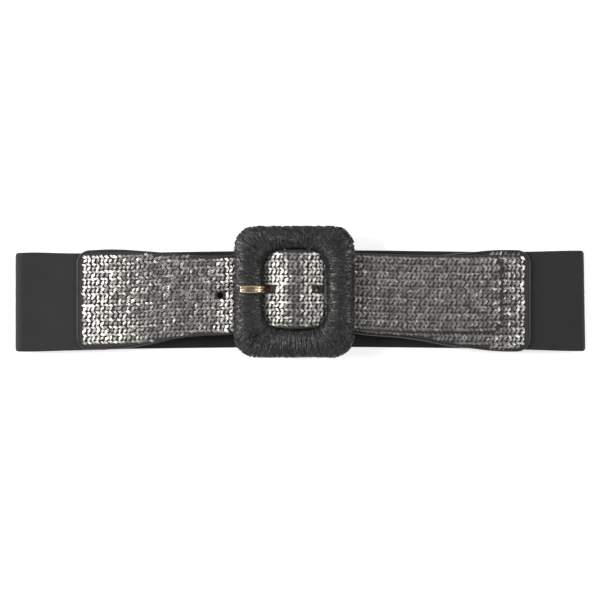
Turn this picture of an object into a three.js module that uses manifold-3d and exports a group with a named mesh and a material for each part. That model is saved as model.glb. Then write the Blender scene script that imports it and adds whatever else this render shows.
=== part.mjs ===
// Elastic stretch belt, fastened and lying face up on its back run.
// Millimetres, +Z up. X runs along the belt, Y across it. The origin is on the resting surface,
// midway between the two folds and under the middle of the buckle.

import * as THREE from "three";
import { mergeVertices } from "three/addons/utils/BufferGeometryUtils.js";
import Module from "manifold-3d";

const wasm = await Module();
wasm.setup();

// The loop as it lies
const LOOP_LENGTH = 352.2; // from fold to fold
const FOLD_HEIGHT = 11; // outer height of the turn at each fold
const ARCH_RISE = 6.7; // the front run rises this far from the folds to the straps
const ARCH_RUN = 85; // length over which it rises
const BELT_DROP = 5.9; // the belt's middle line lies this far below the buckle's middle
const LAYER_GAP = 0.3; // between any two layers that lie on each other

// Elastic band
const ELASTIC_WIDTH = 60;
const ELASTIC_THICKNESS = 1.6;
const ELASTIC_SEWN = 18; // length hidden under each leather part
const SELVEDGE_CORNER = 1.6; // the edges draw in round each fold
const FOLD_SLANT = 0.016; // the right fold leans by this share of the width

// Strap and fixed tab: a leather backing under a knitted facing
const BACKING_THICKNESS = 1;
const FACING_THICKNESS = 1;
const BACKING_RIM = 1.4; // backing that shows round the facing
const WIDE_END_INSET = 38.9; // from the left fold to the strap's wide end
const WIDE_END_WIDTH = 61.5;
const WIDE_END_CORNER = 8;
const TAIL_LENGTH = 91.7; // from the buckle to the strap's tip
const TAIL_WIDTH = 47.7;
const TAIL_CORNER = 7.5;
const TAB_INSET = 34.2; // from the right fold to the tab's end
const TAB_WIDTH = 62.6;
const TAB_CORNER = 8.5;
const TAB_FOLDED_BACK = 38; // the tab's under run, past the centre bar
const HOLE_DIAMETER = 3.7;
const HOLE_PITCH = 30.5;
const HOLE_COUNT_EACH_WAY = 1; // holes to each side of the one in use

// Buckle
const BUCKLE_LENGTH = 73.1; // along the belt
const BUCKLE_WIDTH = 80; // across the belt
const BUCKLE_SHIFT = -3.5; // the buckle's middle, from the middle of the loop
const BUCKLE_CORNER = 13;
const WINDOW_LENGTH = 39.2;
const WINDOW_WIDTH = 49;
const WINDOW_CORNER = 6.5;
const WINDOW_SHIFT = 0.5; // the window's middle, along the belt from the buckle's
const WINDOW_LIFT = 1.35; // and across it
const WINDOW_CLEARANCE = 0.4; // from the window to each edge of the strap, at its widest
const FRAME_THICKNESS = 9;
const BAR_RADIUS = 1.5;
const BAR_HEIGHT = 2; // the centre bar's axis above the frame's lower face
const BAR_SOCKET = 6; // depth of the bar's seat in the frame
const RAMP_INSET = 1.2; // from the middle of each side of the frame to where the straps start to rise
const PRONG_WIDTH = 5;
const PRONG_THICKNESS = 1.8;
const PRONG_NECK_WIDTH = 2.8; // where it passes through the strap
const PRONG_NECK_THICKNESS = 1.2;
const PRONG_GROOVE = 0.35; // depth of the groove along its face
const PRONG_EYE_WALL = 1.5;
const PRONG_HOLE_REACH = 15.5; // from the centre bar to the hole in use

// Fineness of the faceted surfaces
const LONGEST_STEP = 8;
const LARGEST_TURN = THREE.MathUtils.degToRad(9);
const CORNER_STEPS = 5;
const FRAME_SIDES = 20;
const ROUND_SIDES = 16;

// Heights, from the resting surface up
const STRAP_THICKNESS = BACKING_THICKNESS + LAYER_GAP + FACING_THICKNESS;
const LAYER = STRAP_THICKNESS + LAYER_GAP;
const strapLevel = FOLD_HEIGHT + ARCH_RISE + LAYER_GAP;
const tabLevel = strapLevel - LAYER;
const frameBottom = strapLevel + LAYER;
const frameMiddle = frameBottom + FRAME_THICKNESS / 2;
const barLevel = frameBottom + BAR_HEIGHT;
const wrapRadius = BAR_RADIUS + LAYER_GAP;

// Places along the belt
const loopEnd = LOOP_LENGTH / 2;
const foldRadius = FOLD_HEIGHT / 2;
const foldCentre = loopEnd - foldRadius;
const windowX = BUCKLE_SHIFT + WINDOW_SHIFT;
const buckleLeft = BUCKLE_SHIFT - BUCKLE_LENGTH / 2;
const buckleRight = BUCKLE_SHIFT + BUCKLE_LENGTH / 2;
const windowLeft = windowX - WINDOW_LENGTH / 2;
const windowRight = windowX + WINDOW_LENGTH / 2;
const leftBar = (buckleLeft + windowLeft) / 2;
const rightBar = (buckleRight + windowRight) / 2;
const rampLeft = leftBar + RAMP_INSET;
const rampRight = rightBar - RAMP_INSET;
const wideEnd = WIDE_END_INSET - loopEnd;
const tabEnd = loopEnd - TAB_INSET;
const tip = buckleRight + TAIL_LENGTH;
const threadedWidth = WINDOW_WIDTH - 2 * WINDOW_CLEARANCE;

// Outlines seen from above. along: share of the stretch that the heading names, wide: share of the
// named width, low: how far the middle line lies below the buckle's, as a share of the belt's drop.

// The elastic, from one fold to the other; it flares a little towards both.
const ELASTIC_OUTLINE = [
  { along: -1, wide: 1.02, low: 1.1 },
  { along: -0.93, wide: 1.024, low: 1.07 },
  { along: -0.8, wide: 1.002, low: 1.06 },
  { along: -0.5, wide: 1, low: 0.9 },
  { along: 0.1, wide: 1.006, low: 0.72 },
  { along: 0.5, wide: 1.006, low: 0.82 },
  { along: 0.78, wide: 1.01, low: 0.93 },
  { along: 0.93, wide: 1.035, low: 0.95 },
  { along: 1, wide: 1.04, low: 0.95 },
];

// The strap, from its wide end to the buckle: it waists in to pass the frame.
const WIDE_END_OUTLINE = [
  { along: 0, wide: 0.995, low: 0.9 },
  { along: 0.1, wide: 0.998, low: 0.86 },
  { along: 0.2, wide: 1, low: 0.8 },
  { along: 0.31, wide: 0.987, low: 0.77 },
  { along: 0.41, wide: 0.95, low: 0.7 },
  { along: 0.51, wide: 0.905, low: 0.59 },
  { along: 0.61, wide: 0.85, low: 0.49 },
  { along: 0.71, wide: 0.816, low: 0.44 },
  { along: 0.82, wide: 0.795, low: 0.4 },
  { along: 0.97, wide: 0.79, low: 0.32 },
];

// The strap, from the buckle to its tip.
const TAIL_OUTLINE = [
  { along: 0.04, wide: 0.99, low: 0 },
  { along: 0.3, wide: 1, low: 0.17 },
  { along: 0.6, wide: 1, low: 0.25 },
  { along: 1, wide: 0.995, low: 0.24 },
];

// The fixed tab, from the buckle to its end.
const TAB_OUTLINE = [
  { along: 0.04, wide: 0.775, low: 0.34 },
  { along: 0.26, wide: 0.783, low: 0.64 },
  { along: 0.4, wide: 0.823, low: 0.79 },
  { along: 0.49, wide: 0.877, low: 0.85 },
  { along: 0.58, wide: 0.92, low: 0.88 },
  { along: 0.67, wide: 0.949, low: 0.9 },
  { along: 0.76, wide: 0.984, low: 0.92 },
  { along: 0.86, wide: 1, low: 0.94 },
  { along: 1, wide: 0.995, low: 0.95 },
];

// Turns rows of an outline into a function of x that gives the middle line and half the width.
function outlineOf(rows) {
  const places = rows.map((row) => row.at);
  const values = rows.flatMap((row) => [row.centre, row.half]);
  const curve = new THREE.CubicInterpolant(places, values, 2);
  return (x) => {
    const kept = THREE.MathUtils.clamp(x, places[0], places[places.length - 1]);
    const [centre, half] = curve.evaluate(kept);
    return { centre, half };
  };
}

function rowsOf(table, start, end, width) {
  return table.map(({ along, wide, low }) => ({
    at: start + along * (end - start),
    centre: -low * BELT_DROP,
    half: (wide * width) / 2,
  }));
}

// What passes through the window is as wide as the window lets it be, and follows its middle. It is
// narrower towards the window's rounded corners.
const THREADED_OUTLINE = [
  { at: windowLeft, wide: 0.965 },
  { at: windowX, wide: 1 },
  { at: windowRight, wide: 0.965 },
];
const threadedRows = THREADED_OUTLINE.map(({ at, wide }) => ({
  at,
  centre: WINDOW_LIFT,
  half: (wide * threadedWidth) / 2,
}));

const elasticOutline = outlineOf(rowsOf(ELASTIC_OUTLINE, 0, loopEnd, ELASTIC_WIDTH));
const strapOutline = outlineOf([
  ...rowsOf(WIDE_END_OUTLINE, wideEnd, buckleLeft, WIDE_END_WIDTH),
  ...threadedRows,
  ...rowsOf(TAIL_OUTLINE, buckleRight, tip, TAIL_WIDTH),
]);
const tabOutline = outlineOf([
  ...threadedRows,
  ...rowsOf(TAB_OUTLINE, buckleRight, tabEnd, TAB_WIDTH),
]);

// A path in the XZ plane, as closely spaced points with their distance along it. Seen along the
// path, its outer side is on the right hand: up where it runs left, down where it runs right.
function pathOf(points) {
  let along = 0;
  return points.map((point, i) => {
    const before = points[Math.max(i - 1, 0)];
    const after = points[Math.min(i + 1, points.length - 1)];
    if (i > 0) along += point.distanceTo(before);
    const heading = after.clone().sub(before).normalize();
    return { along, point, heading, outward: new THREE.Vector2(heading.y, -heading.x) };
  });
}

function lengthOf(path) {
  return path[path.length - 1].along;
}

// The place at a distance along a path.
function placeAt(path, along) {
  const next = Math.max(1, path.findIndex((place) => place.along >= along - 1e-9));
  const [a, b] = [path[next - 1], path[next]];
  const share = THREE.MathUtils.clamp((along - a.along) / (b.along - a.along), 0, 1);
  return {
    point: a.point.clone().lerp(b.point, share),
    heading: a.heading.clone().lerp(b.heading, share).normalize(),
    outward: a.outward.clone().lerp(b.outward, share).normalize(),
  };
}

// Distances at which a layer gets a section: close together where the path turns or where an end's
// corners are rounded.
function stationsOf(path, start, end, cornerAtStart, cornerAtEnd) {
  const quarter = Array.from({ length: CORNER_STEPS + 1 }, (_, i) => (i / CORNER_STEPS) * (Math.PI / 2));
  const atStart = cornerAtStart ? quarter.map((t) => start + cornerAtStart * (1 - Math.cos(t))) : [start];
  const atEnd = cornerAtEnd ? quarter.map((t) => end - cornerAtEnd * (1 - Math.cos(t))).reverse() : [end];
  const between = [];
  let last = atStart[atStart.length - 1];
  let heading = placeAt(path, last).heading;
  for (const place of path) {
    if (place.along <= last || place.along >= atEnd[0] - 0.5) continue;
    const turned = Math.acos(THREE.MathUtils.clamp(heading.dot(place.heading), -1, 1));
    if (place.along - last < LONGEST_STEP && turned < LARGEST_TURN) continue;
    between.push(place.along);
    last = place.along;
    heading = place.heading;
  }
  return [...atStart, ...between, ...atEnd];
}

// How much a rounded corner takes off each side at a distance from the end.
function cornerInset(radius, distance) {
  if (distance >= radius) return 0;
  return radius - Math.sqrt(radius ** 2 - (radius - distance) ** 2);
}

// Closed geometry through rings of points; ends are capped unless the rings close on themselves.
function loft(rings, closed = false) {
  const sides = rings[0].length;
  const positions = rings.flat().flatMap((p) => [p.x, p.y, p.z]);
  const index = [];
  const spans = closed ? rings.length : rings.length - 1;
  for (let i = 0; i < spans; i++) {
    const here = i * sides;
    const there = ((i + 1) % rings.length) * sides;
    for (let j = 0; j < sides; j++) {
      const k = (j + 1) % sides;
      index.push(here + j, there + k, here + k, here + j, there + j, there + k);
    }
  }
  if (!closed) {
    const last = (rings.length - 1) * sides;
    for (let j = 1; j < sides - 1; j++) {
      index.push(0, j, j + 1);
      index.push(last, last + j + 1, last + j);
    }
  }
  const geometry = new THREE.BufferGeometry();
  geometry.setAttribute("position", new THREE.Float32BufferAttribute(positions, 3));
  geometry.setIndex(index);
  return geometry;
}

// A layer of cloth or leather all along a path. inner: its inner face's distance from the path,
// corners: the radius at the path's start and end, 0 for a square end, rim: how far it keeps back
// from the outline and from its rounded ends.
function layer({ path, outline, inner, thickness, corners = [0, 0], rim = 0 }) {
  const [startRim, endRim] = corners.map((corner) => (corner > 0 ? rim : 0));
  const [startCorner, endCorner] = [corners[0] - startRim, corners[1] - endRim];
  const first = startRim;
  const last = lengthOf(path) - endRim;
  const rings = stationsOf(path, first, last, startCorner, endCorner).map((along) => {
    const { point, outward } = placeAt(path, along);
    const { centre, half, lean = 0, drawn = 0 } = outline(point.x);
    const inset = cornerInset(startCorner, along - first) + cornerInset(endCorner, last - along);
    const reach = half - rim - inset - drawn;
    const corner = (side, depth) => {
      const xz = point.clone().addScaledVector(outward, depth);
      return new THREE.Vector3(xz.x + lean * side * reach, centre + side * reach, xz.y);
    };
    const outer = inner + thickness;
    return [corner(1, inner), corner(1, outer), corner(-1, outer), corner(-1, inner)];
  });
  return loft(rings);
}

// Heights of the front run over x: what the leather lies on, at the left and at the right.
function riseTo(level, fromFold) {
  return THREE.MathUtils.lerp(FOLD_HEIGHT, level, THREE.MathUtils.smoothstep(fromFold, 0, ARCH_RUN));
}

function leftDeck(x) {
  return riseTo(strapLevel - LAYER_GAP, x + foldCentre);
}

function rightDeck(x) {
  return riseTo(tabLevel - LAYER_GAP, foldCentre - x);
}

// Points of a height function between two values of x.
function run(from, to, height, step = 1) {
  const count = Math.ceil(Math.abs(to - from) / step);
  return Array.from({ length: count + 1 }, (_, i) => {
    const x = THREE.MathUtils.lerp(from, to, i / count);
    return new THREE.Vector2(x, height(x));
  });
}

// Points of an arc from one angle to another, in degrees.
function arc(x, z, radius, fromDegrees, toDegrees) {
  const steps = 40;
  return Array.from({ length: steps + 1 }, (_, i) => {
    const angle = THREE.MathUtils.degToRad(THREE.MathUtils.lerp(fromDegrees, toDegrees, i / steps));
    return new THREE.Vector2(x + radius * Math.cos(angle), z + radius * Math.sin(angle));
  });
}

// Outer face of the elastic: from under the strap, round the left fold, along the resting surface,
// round the right fold and back to under the fixed tab.
const elasticPath = pathOf([
  ...run(wideEnd + ELASTIC_SEWN, -foldCentre, leftDeck),
  ...arc(-foldCentre, foldRadius, foldRadius, 90, 270).slice(1),
  ...run(-foldCentre, foldCentre, () => 0).slice(1),
  ...arc(foldCentre, foldRadius, foldRadius, -90, 90).slice(1),
  ...run(foldCentre, tabEnd - ELASTIC_SEWN, rightDeck).slice(1),
]);

// Inner face of the fixed tab: from its end, over the centre bar, round it and back underneath.
const overBar = barLevel + wrapRadius;
const underBar = barLevel - wrapRadius;
const underLevel = tabLevel - LAYER_GAP;
const tabUpper = run(tabEnd, windowX, (x) => {
  const deck = Math.min(tabLevel, rightDeck(x) + LAYER_GAP);
  return THREE.MathUtils.lerp(overBar, deck, THREE.MathUtils.smoothstep(x, windowX, rampRight));
});
const tabLower = run(windowX, windowX + TAB_FOLDED_BACK, (x) =>
  THREE.MathUtils.lerp(underBar, underLevel, THREE.MathUtils.smoothstep(x, windowX, rampRight)),
);
const tabPath = pathOf([
  ...tabUpper,
  ...arc(windowX, barLevel, wrapRadius, 90, 270).slice(1),
  ...tabLower.slice(1),
]);

// Inner face of the strap: from its tip over the fixed tab and the centre bar, then down under the
// frame's left side and on to its wide end on the elastic.
const strapOverTab = pathOf(tabUpper)
  .filter(({ point }) => point.x <= tip)
  .map(({ point, outward }) => point.clone().addScaledVector(outward, LAYER));
const crest = overBar + LAYER;
const strapPath = pathOf([
  ...strapOverTab,
  ...run(windowX, wideEnd, (x) => {
    const deck = Math.min(strapLevel, leftDeck(x) + LAYER_GAP);
    return THREE.MathUtils.lerp(deck, crest, THREE.MathUtils.smoothstep(x, rampLeft, windowX));
  }).slice(1),
]);

// Boolean work
function solidOf(geometry) {
  const bare = geometry.clone();
  bare.deleteAttribute("normal");
  bare.deleteAttribute("uv");
  const merged = mergeVertices(bare, 1e-4);
  return new wasm.Manifold(
    new wasm.Mesh({
      numProp: 3,
      vertProperties: new Float32Array(merged.attributes.position.array),
      triVerts: new Uint32Array(merged.index.array),
    }),
  );
}

function geometryOf(solid) {
  const { vertProperties, triVerts } = solid.getMesh();
  const geometry = new THREE.BufferGeometry();
  geometry.setAttribute("position", new THREE.BufferAttribute(vertProperties, 3));
  geometry.setIndex(new THREE.BufferAttribute(triVerts, 1));
  return geometry;
}

function cut(geometry, tools) {
  const solid = tools.reduce((left, tool) => left.subtract(solidOf(tool)), solidOf(geometry));
  return geometryOf(solid);
}

// The elastic draws in at its edges round each fold, and the right fold leans a little.
function elasticShape(x) {
  const { centre, half } = elasticOutline(x);
  return {
    centre,
    half,
    drawn: cornerInset(SELVEDGE_CORNER, loopEnd - Math.abs(x)),
    lean: -FOLD_SLANT * THREE.MathUtils.smoothstep(x, tabEnd, foldCentre),
  };
}

function elasticBand() {
  return layer({
    path: elasticPath,
    outline: elasticShape,
    inner: -ELASTIC_THICKNESS,
    thickness: ELASTIC_THICKNESS,
  });
}

// Holes through the strap, along its middle. The one in use is drawn out by the prong.
function strapHoles() {
  const barPlace = strapPath.find(({ point }) => point.x <= windowX - PRONG_HOLE_REACH).along;
  const holes = [];
  for (let i = -HOLE_COUNT_EACH_WAY; i <= HOLE_COUNT_EACH_WAY; i++) {
    const { point, outward } = placeAt(strapPath, barPlace + i * HOLE_PITCH);
    const radius = HOLE_DIAMETER / 2;
    const hole = new THREE.CylinderGeometry(radius, radius, 4 * STRAP_THICKNESS, ROUND_SIDES);
    if (i === 0) hole.scale((PRONG_THICKNESS + STRAP_THICKNESS + 8 * LAYER_GAP) / HOLE_DIAMETER, 1, 1);
    hole.rotateX(Math.PI / 2);
    hole.rotateY(Math.atan2(outward.x, outward.y));
    hole.translate(point.x, strapOutline(point.x).centre, point.y);
    holes.push(hole);
  }
  return holes;
}

const strapCorners = [TAIL_CORNER, WIDE_END_CORNER];

function strapBacking() {
  const sheet = layer({
    path: strapPath,
    outline: strapOutline,
    inner: 0,
    thickness: BACKING_THICKNESS,
    corners: strapCorners,
  });
  return cut(sheet, strapHoles());
}

function strapFacing() {
  const sheet = layer({
    path: strapPath,
    outline: strapOutline,
    inner: BACKING_THICKNESS + LAYER_GAP,
    thickness: FACING_THICKNESS,
    corners: strapCorners,
    rim: BACKING_RIM,
  });
  return cut(sheet, strapHoles());
}

// The slot in the tab's fold lets the prong's eye sit on the centre bar.
const eyeRadius = wrapRadius + PRONG_EYE_WALL;

function prongSlot() {
  const foldRadiusOuter = wrapRadius + STRAP_THICKNESS;
  const left = windowX - foldRadiusOuter - 1;
  const right = windowX + eyeRadius + 1;
  const slot = new THREE.BoxGeometry(right - left, PRONG_WIDTH + 4 * LAYER_GAP, 4 * foldRadiusOuter);
  slot.translate((left + right) / 2, WINDOW_LIFT, barLevel);
  return slot;
}

function tabBacking() {
  const sheet = layer({
    path: tabPath,
    outline: tabOutline,
    inner: 0,
    thickness: BACKING_THICKNESS,
    corners: [TAB_CORNER, 0],
  });
  return cut(sheet, [prongSlot()]);
}

function tabFacing() {
  const sheet = layer({
    path: tabPath,
    outline: tabOutline,
    inner: BACKING_THICKNESS + LAYER_GAP,
    thickness: FACING_THICKNESS,
    corners: [TAB_CORNER, 0],
    rim: BACKING_RIM,
  });
  return cut(sheet, [prongSlot()]);
}

// Where a ray from the window's corner meets the frame's rounded outline, all in one quarter of
// the frame and measured from the buckle's middle.
function outerEdge(from, direction, halfLength, halfWidth) {
  const toSide = (halfLength - from.x) / Math.max(direction.x, 1e-9);
  const onSide = from.clone().addScaledVector(direction, toSide);
  const centre = new THREE.Vector2(halfLength - BUCKLE_CORNER, halfWidth - BUCKLE_CORNER);
  if (onSide.y <= centre.y) return onSide;
  const toTop = (halfWidth - from.y) / Math.max(direction.y, 1e-9);
  const onTop = from.clone().addScaledVector(direction, toTop);
  if (onTop.x <= centre.x) return onTop;
  const away = from.clone().sub(centre);
  const b = away.dot(direction);
  const reach = -b + Math.sqrt(b * b - away.lengthSq() + BUCKLE_CORNER ** 2);
  return from.clone().addScaledVector(direction, reach);
}

// Pairs of points on the window and on the outline that the frame's sections join. Along the sides
// they face each other squarely, and round a corner they fan out.
function framePairs() {
  const pairs = [];
  const quarters = [
    { x: 1, y: 1 },
    { x: -1, y: 1 },
    { x: -1, y: -1 },
    { x: 1, y: -1 },
  ];
  quarters.forEach(({ x: sx, y: sy }, quarter) => {
    const halfLength = BUCKLE_LENGTH / 2;
    const halfWidth = BUCKLE_WIDTH / 2;
    const corner = new THREE.Vector2(
      sx * WINDOW_SHIFT + WINDOW_LENGTH / 2 - WINDOW_CORNER,
      sy * WINDOW_LIFT + WINDOW_WIDTH / 2 - WINDOW_CORNER,
    );
    const steps = 2 * CORNER_STEPS;
    for (let i = 0; i <= steps; i++) {
      const share = quarter % 2 === 0 ? i / steps : 1 - i / steps;
      const angle = (share * Math.PI) / 2;
      const direction = new THREE.Vector2(Math.cos(angle), Math.sin(angle));
      const inner = corner.clone().addScaledVector(direction, WINDOW_CORNER);
      const outer = outerEdge(corner, direction, halfLength, halfWidth);
      const place = (p) => new THREE.Vector2(BUCKLE_SHIFT + sx * p.x, sy * p.y);
      pairs.push({ inner: place(inner), outer: place(outer) });
    }
  });
  return pairs;
}

// Splits each long gap between neighbouring pairs into steps.
function withSteps(pairs) {
  return pairs.flatMap((pair, i) => {
    const next = pairs[(i + 1) % pairs.length];
    const count = Math.max(1, Math.round(pair.inner.distanceTo(next.inner) / LONGEST_STEP));
    return Array.from({ length: count }, (_, j) => ({
      inner: pair.inner.clone().lerp(next.inner, j / count),
      outer: pair.outer.clone().lerp(next.outer, j / count),
    }));
  });
}

function buckleFrame() {
  const rings = withSteps(framePairs()).map(({ inner, outer }) =>
    Array.from({ length: FRAME_SIDES }, (_, i) => {
      const angle = (i / FRAME_SIDES) * 2 * Math.PI;
      const across = inner.clone().lerp(outer, (1 + Math.cos(angle)) / 2);
      const height = frameMiddle + (FRAME_THICKNESS / 2) * Math.sin(angle);
      return new THREE.Vector3(across.x, across.y, height);
    }),
  );
  const seat = centreBarRod(BAR_RADIUS + LAYER_GAP, BAR_SOCKET + LAYER_GAP);
  return cut(loft(rings, true), [seat]);
}

function centreBarRod(radius, socket) {
  const rod = new THREE.CylinderGeometry(radius, radius, WINDOW_WIDTH + 2 * socket, ROUND_SIDES);
  rod.translate(windowX, WINDOW_LIFT, barLevel);
  return rod;
}

function centreBar() {
  return centreBarRod(BAR_RADIUS, BAR_SOCKET);
}

// A point that clears the frame's left side by a distance, at an angle round its section that
// starts at the window.
function overLeftSide(degrees, clearance) {
  const angle = THREE.MathUtils.degToRad(degrees);
  const [a, b] = [(windowLeft - buckleLeft) / 2, FRAME_THICKNESS / 2];
  const away = new THREE.Vector2(Math.cos(angle) / a, Math.sin(angle) / b).normalize();
  const onFrame = new THREE.Vector2(leftBar + a * Math.cos(angle), frameMiddle + b * Math.sin(angle));
  return onFrame.addScaledVector(away, clearance);
}

// Middle line of the prong: level under the strap, up through the hole in use, and over the
// frame's left side, where its tip rests.
function prongLine() {
  const clearance = LAYER_GAP + PRONG_THICKNESS / 2;
  const hole = strapPath.find(({ point }) => point.x <= windowX - PRONG_HOLE_REACH);
  const inHole = hole.point.clone().addScaledVector(hole.outward, STRAP_THICKNESS / 2);
  const belowHole = new THREE.Vector2(windowX - 0.8 * PRONG_HOLE_REACH, barLevel - 3 * LAYER_GAP);
  return new THREE.SplineCurve([
    new THREE.Vector2(windowX - wrapRadius - PRONG_EYE_WALL / 2, barLevel),
    new THREE.Vector2(windowX - 0.5 * PRONG_HOLE_REACH, barLevel),
    belowHole,
    inHole,
    ...[32, 60, 90, 122].map((degrees) => overLeftSide(degrees, clearance)),
  ]);
}

// Width and thickness of the prong by share of its length, from the neck's to the full ones.
const PRONG_OUTLINE = [
  { along: 0, wide: 0.6 },
  { along: 0.2, wide: 0.3 },
  { along: 0.34, wide: 0 },
  { along: 0.5, wide: 0 },
  { along: 0.7, wide: 0.7 },
  { along: 1, wide: 1 },
];

function prong() {
  const line = prongLine();
  const widths = new THREE.LinearInterpolant(
    PRONG_OUTLINE.map((row) => row.along),
    PRONG_OUTLINE.map((row) => row.wide),
    1,
  );
  const steps = 28;
  const rings = Array.from({ length: steps + 1 }, (_, i) => {
    const share = i / steps;
    const point = line.getPointAt(share);
    const heading = line.getTangentAt(share);
    const outward = new THREE.Vector2(heading.y, -heading.x);
    const [wide] = widths.evaluate(share);
    const blunt = share === 1 ? 0.8 : 1;
    const half = (blunt * THREE.MathUtils.lerp(PRONG_NECK_WIDTH, PRONG_WIDTH, wide)) / 2;
    const height = (blunt * THREE.MathUtils.lerp(PRONG_NECK_THICKNESS, PRONG_THICKNESS, wide)) / 2;
    return prongSection(half, height).map(({ across, up }) => {
      const xz = point.clone().addScaledVector(outward, up);
      return new THREE.Vector3(xz.x, WINDOW_LIFT + across, xz.y);
    });
  });
  const ring = new THREE.Shape().absarc(0, 0, eyeRadius, 0, 2 * Math.PI);
  ring.holes.push(new THREE.Path().absarc(0, 0, wrapRadius, 0, 2 * Math.PI));
  const eye = new THREE.ExtrudeGeometry(ring, { depth: PRONG_WIDTH, bevelEnabled: false, curveSegments: 10 });
  eye.rotateX(Math.PI / 2);
  eye.translate(windowX, WINDOW_LIFT + PRONG_WIDTH / 2, barLevel);
  return geometryOf(solidOf(loft(rings)).add(solidOf(eye)));
}

// Section of the prong: two rounded ridges with a groove between them, on a flat underside.
function prongSection(half, up) {
  return [
    { across: half, up: -0.6 * up },
    { across: half, up: 0.3 * up },
    { across: 0.6 * half, up },
    { across: 0.25 * half, up: 0.85 * up },
    { across: 0, up: up - PRONG_GROOVE },
    { across: -0.25 * half, up: 0.85 * up },
    { across: -0.6 * half, up },
    { across: -half, up: 0.3 * up },
    { across: -half, up: -0.6 * up },
    { across: -0.7 * half, up: -up },
    { across: 0.7 * half, up: -up },
  ];
}

const MATERIALS = {
  elastic: { color: "#333436", roughness: 0.85, metalness: 0 },
  leather: { color: "#2a2a2c", roughness: 0.5, metalness: 0 },
  knit: { color: "#a39d95", roughness: 0.4, metalness: 0.6 },
  raffia: { color: "#2f2f31", roughness: 0.65, metalness: 0 },
  steel: { color: "#8c8c8e", roughness: 0.35, metalness: 1 },
  brass: { color: "#c9a56a", roughness: 0.3, metalness: 1 },
};

function piece(name, geometry, finish) {
  const solid = geometry.toNonIndexed();
  solid.computeVertexNormals();
  const material = new THREE.MeshStandardMaterial({ ...MATERIALS[finish], flatShading: true });
  const mesh = new THREE.Mesh(solid, material);
  mesh.name = name;
  return mesh;
}

const belt = new THREE.Group();
belt.add(
  piece("elastic_band", elasticBand(), "elastic"),
  piece("strap_backing", strapBacking(), "leather"),
  piece("strap_facing", strapFacing(), "knit"),
  piece("tab_backing", tabBacking(), "leather"),
  piece("tab_facing", tabFacing(), "knit"),
  piece("buckle_frame", buckleFrame(), "raffia"),
  piece("centre_bar", centreBar(), "steel"),
  piece("prong", prong(), "brass"),
);

export default belt;
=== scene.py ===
# %% [markdown]
# # An elastic stretch belt
# The belt lies fastened, face up on its back run, and is seen from straight above. A wide elastic
# goes round the waist. Its two ends carry leather parts faced with a knit of silver ribbon yarn, and
# a square frame wound with black raffia joins them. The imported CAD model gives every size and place.
# This script dresses it, piece by piece, in the same frame.

# %% Load the frame
import math
from types import SimpleNamespace

import bmesh
import bpy
import numpy as np
from mathutils import Matrix


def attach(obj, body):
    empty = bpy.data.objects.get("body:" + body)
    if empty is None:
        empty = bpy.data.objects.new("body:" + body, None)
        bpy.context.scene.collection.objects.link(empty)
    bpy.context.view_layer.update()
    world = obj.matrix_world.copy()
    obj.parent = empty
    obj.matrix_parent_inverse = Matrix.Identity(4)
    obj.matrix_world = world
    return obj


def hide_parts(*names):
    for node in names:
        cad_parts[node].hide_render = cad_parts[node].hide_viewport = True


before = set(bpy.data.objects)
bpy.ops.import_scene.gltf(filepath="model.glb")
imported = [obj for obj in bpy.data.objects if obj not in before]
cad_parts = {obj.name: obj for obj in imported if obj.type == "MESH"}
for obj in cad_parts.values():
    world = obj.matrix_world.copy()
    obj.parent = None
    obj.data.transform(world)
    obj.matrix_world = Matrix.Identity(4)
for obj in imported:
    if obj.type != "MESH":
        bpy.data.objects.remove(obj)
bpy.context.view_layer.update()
scene = bpy.context.scene
MM = 0.001
print("CAD nodes:", sorted(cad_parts))

# %% [markdown]
# ## Camera
# The photograph shows no side of the belt, so its camera hung straight above it. The front run of the
# elastic looks a little wider than the back run, which a camera 1.2 m up explains. A long lens then
# makes 369.3 mm of the belt's level fill the picture's width.

# %% Camera
def in_scene(name, data):
    """A new object for a mesh, a light or a camera, linked to the scene."""
    made = bpy.data.objects.new(name, data)
    scene.collection.objects.link(made)
    return made


SENSOR_WIDTH, CAMERA_DISTANCE, SEEN_WIDTH = 36, 1200, 369.3
CAMERA_PLACE = (0, -5.09 * MM, 1212 * MM)
camera_data = bpy.data.cameras.new("camera_above")
camera_data.sensor_width = SENSOR_WIDTH
camera_data.lens = SENSOR_WIDTH * CAMERA_DISTANCE / SEEN_WIDTH
camera = in_scene("camera_above", camera_data)
camera.location = CAMERA_PLACE
scene.camera = camera
scene.view_settings.view_transform = "Standard"
print("lens:", round(camera_data.lens, 1), "mm")

# %% [markdown]
# ## Helpers for nodes, colours and finishes
# Shaders and Geometry Nodes are both trees of nodes. One small function adds a node to either kind: its
# settings are plain keywords, and its inputs are values, or the nodes and sockets that feed them.
# Colours are written as sRGB hex, as a colour picker shows them, and turned to the linear light that
# shaders use. No real finish is one flat colour, so the last helper lets a pattern mix two colours,
# and drive the roughness and a fine bump.

# %% Nodes, colours and finishes
def add(tree, kind, inputs=(), **settings):
    """Adds a node with its settings. inputs holds values, or nodes and sockets to link.

    They come by name or number in a dictionary, or one after the other in a list.
    """
    made = tree.nodes.new(kind)
    for key, value in settings.items():
        setattr(made, key, value)
    for key, value in inputs.items() if isinstance(inputs, dict) else enumerate(inputs):
        if isinstance(value, bpy.types.Node):
            value = value.outputs[0]
        if isinstance(value, bpy.types.NodeSocket):
            tree.links.new(value, made.inputs[key])
        else:
            made.inputs[key].default_value = value
    return made


def linear(hex_colour):
    """An sRGB hex colour as linear RGBA."""
    parts = [int(hex_colour[i : i + 2], 16) / 255 for i in (1, 3, 5)]
    return (*(p / 12.92 if p <= 0.04045 else ((p + 0.055) / 1.055) ** 2.4 for p in parts), 1)


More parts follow.
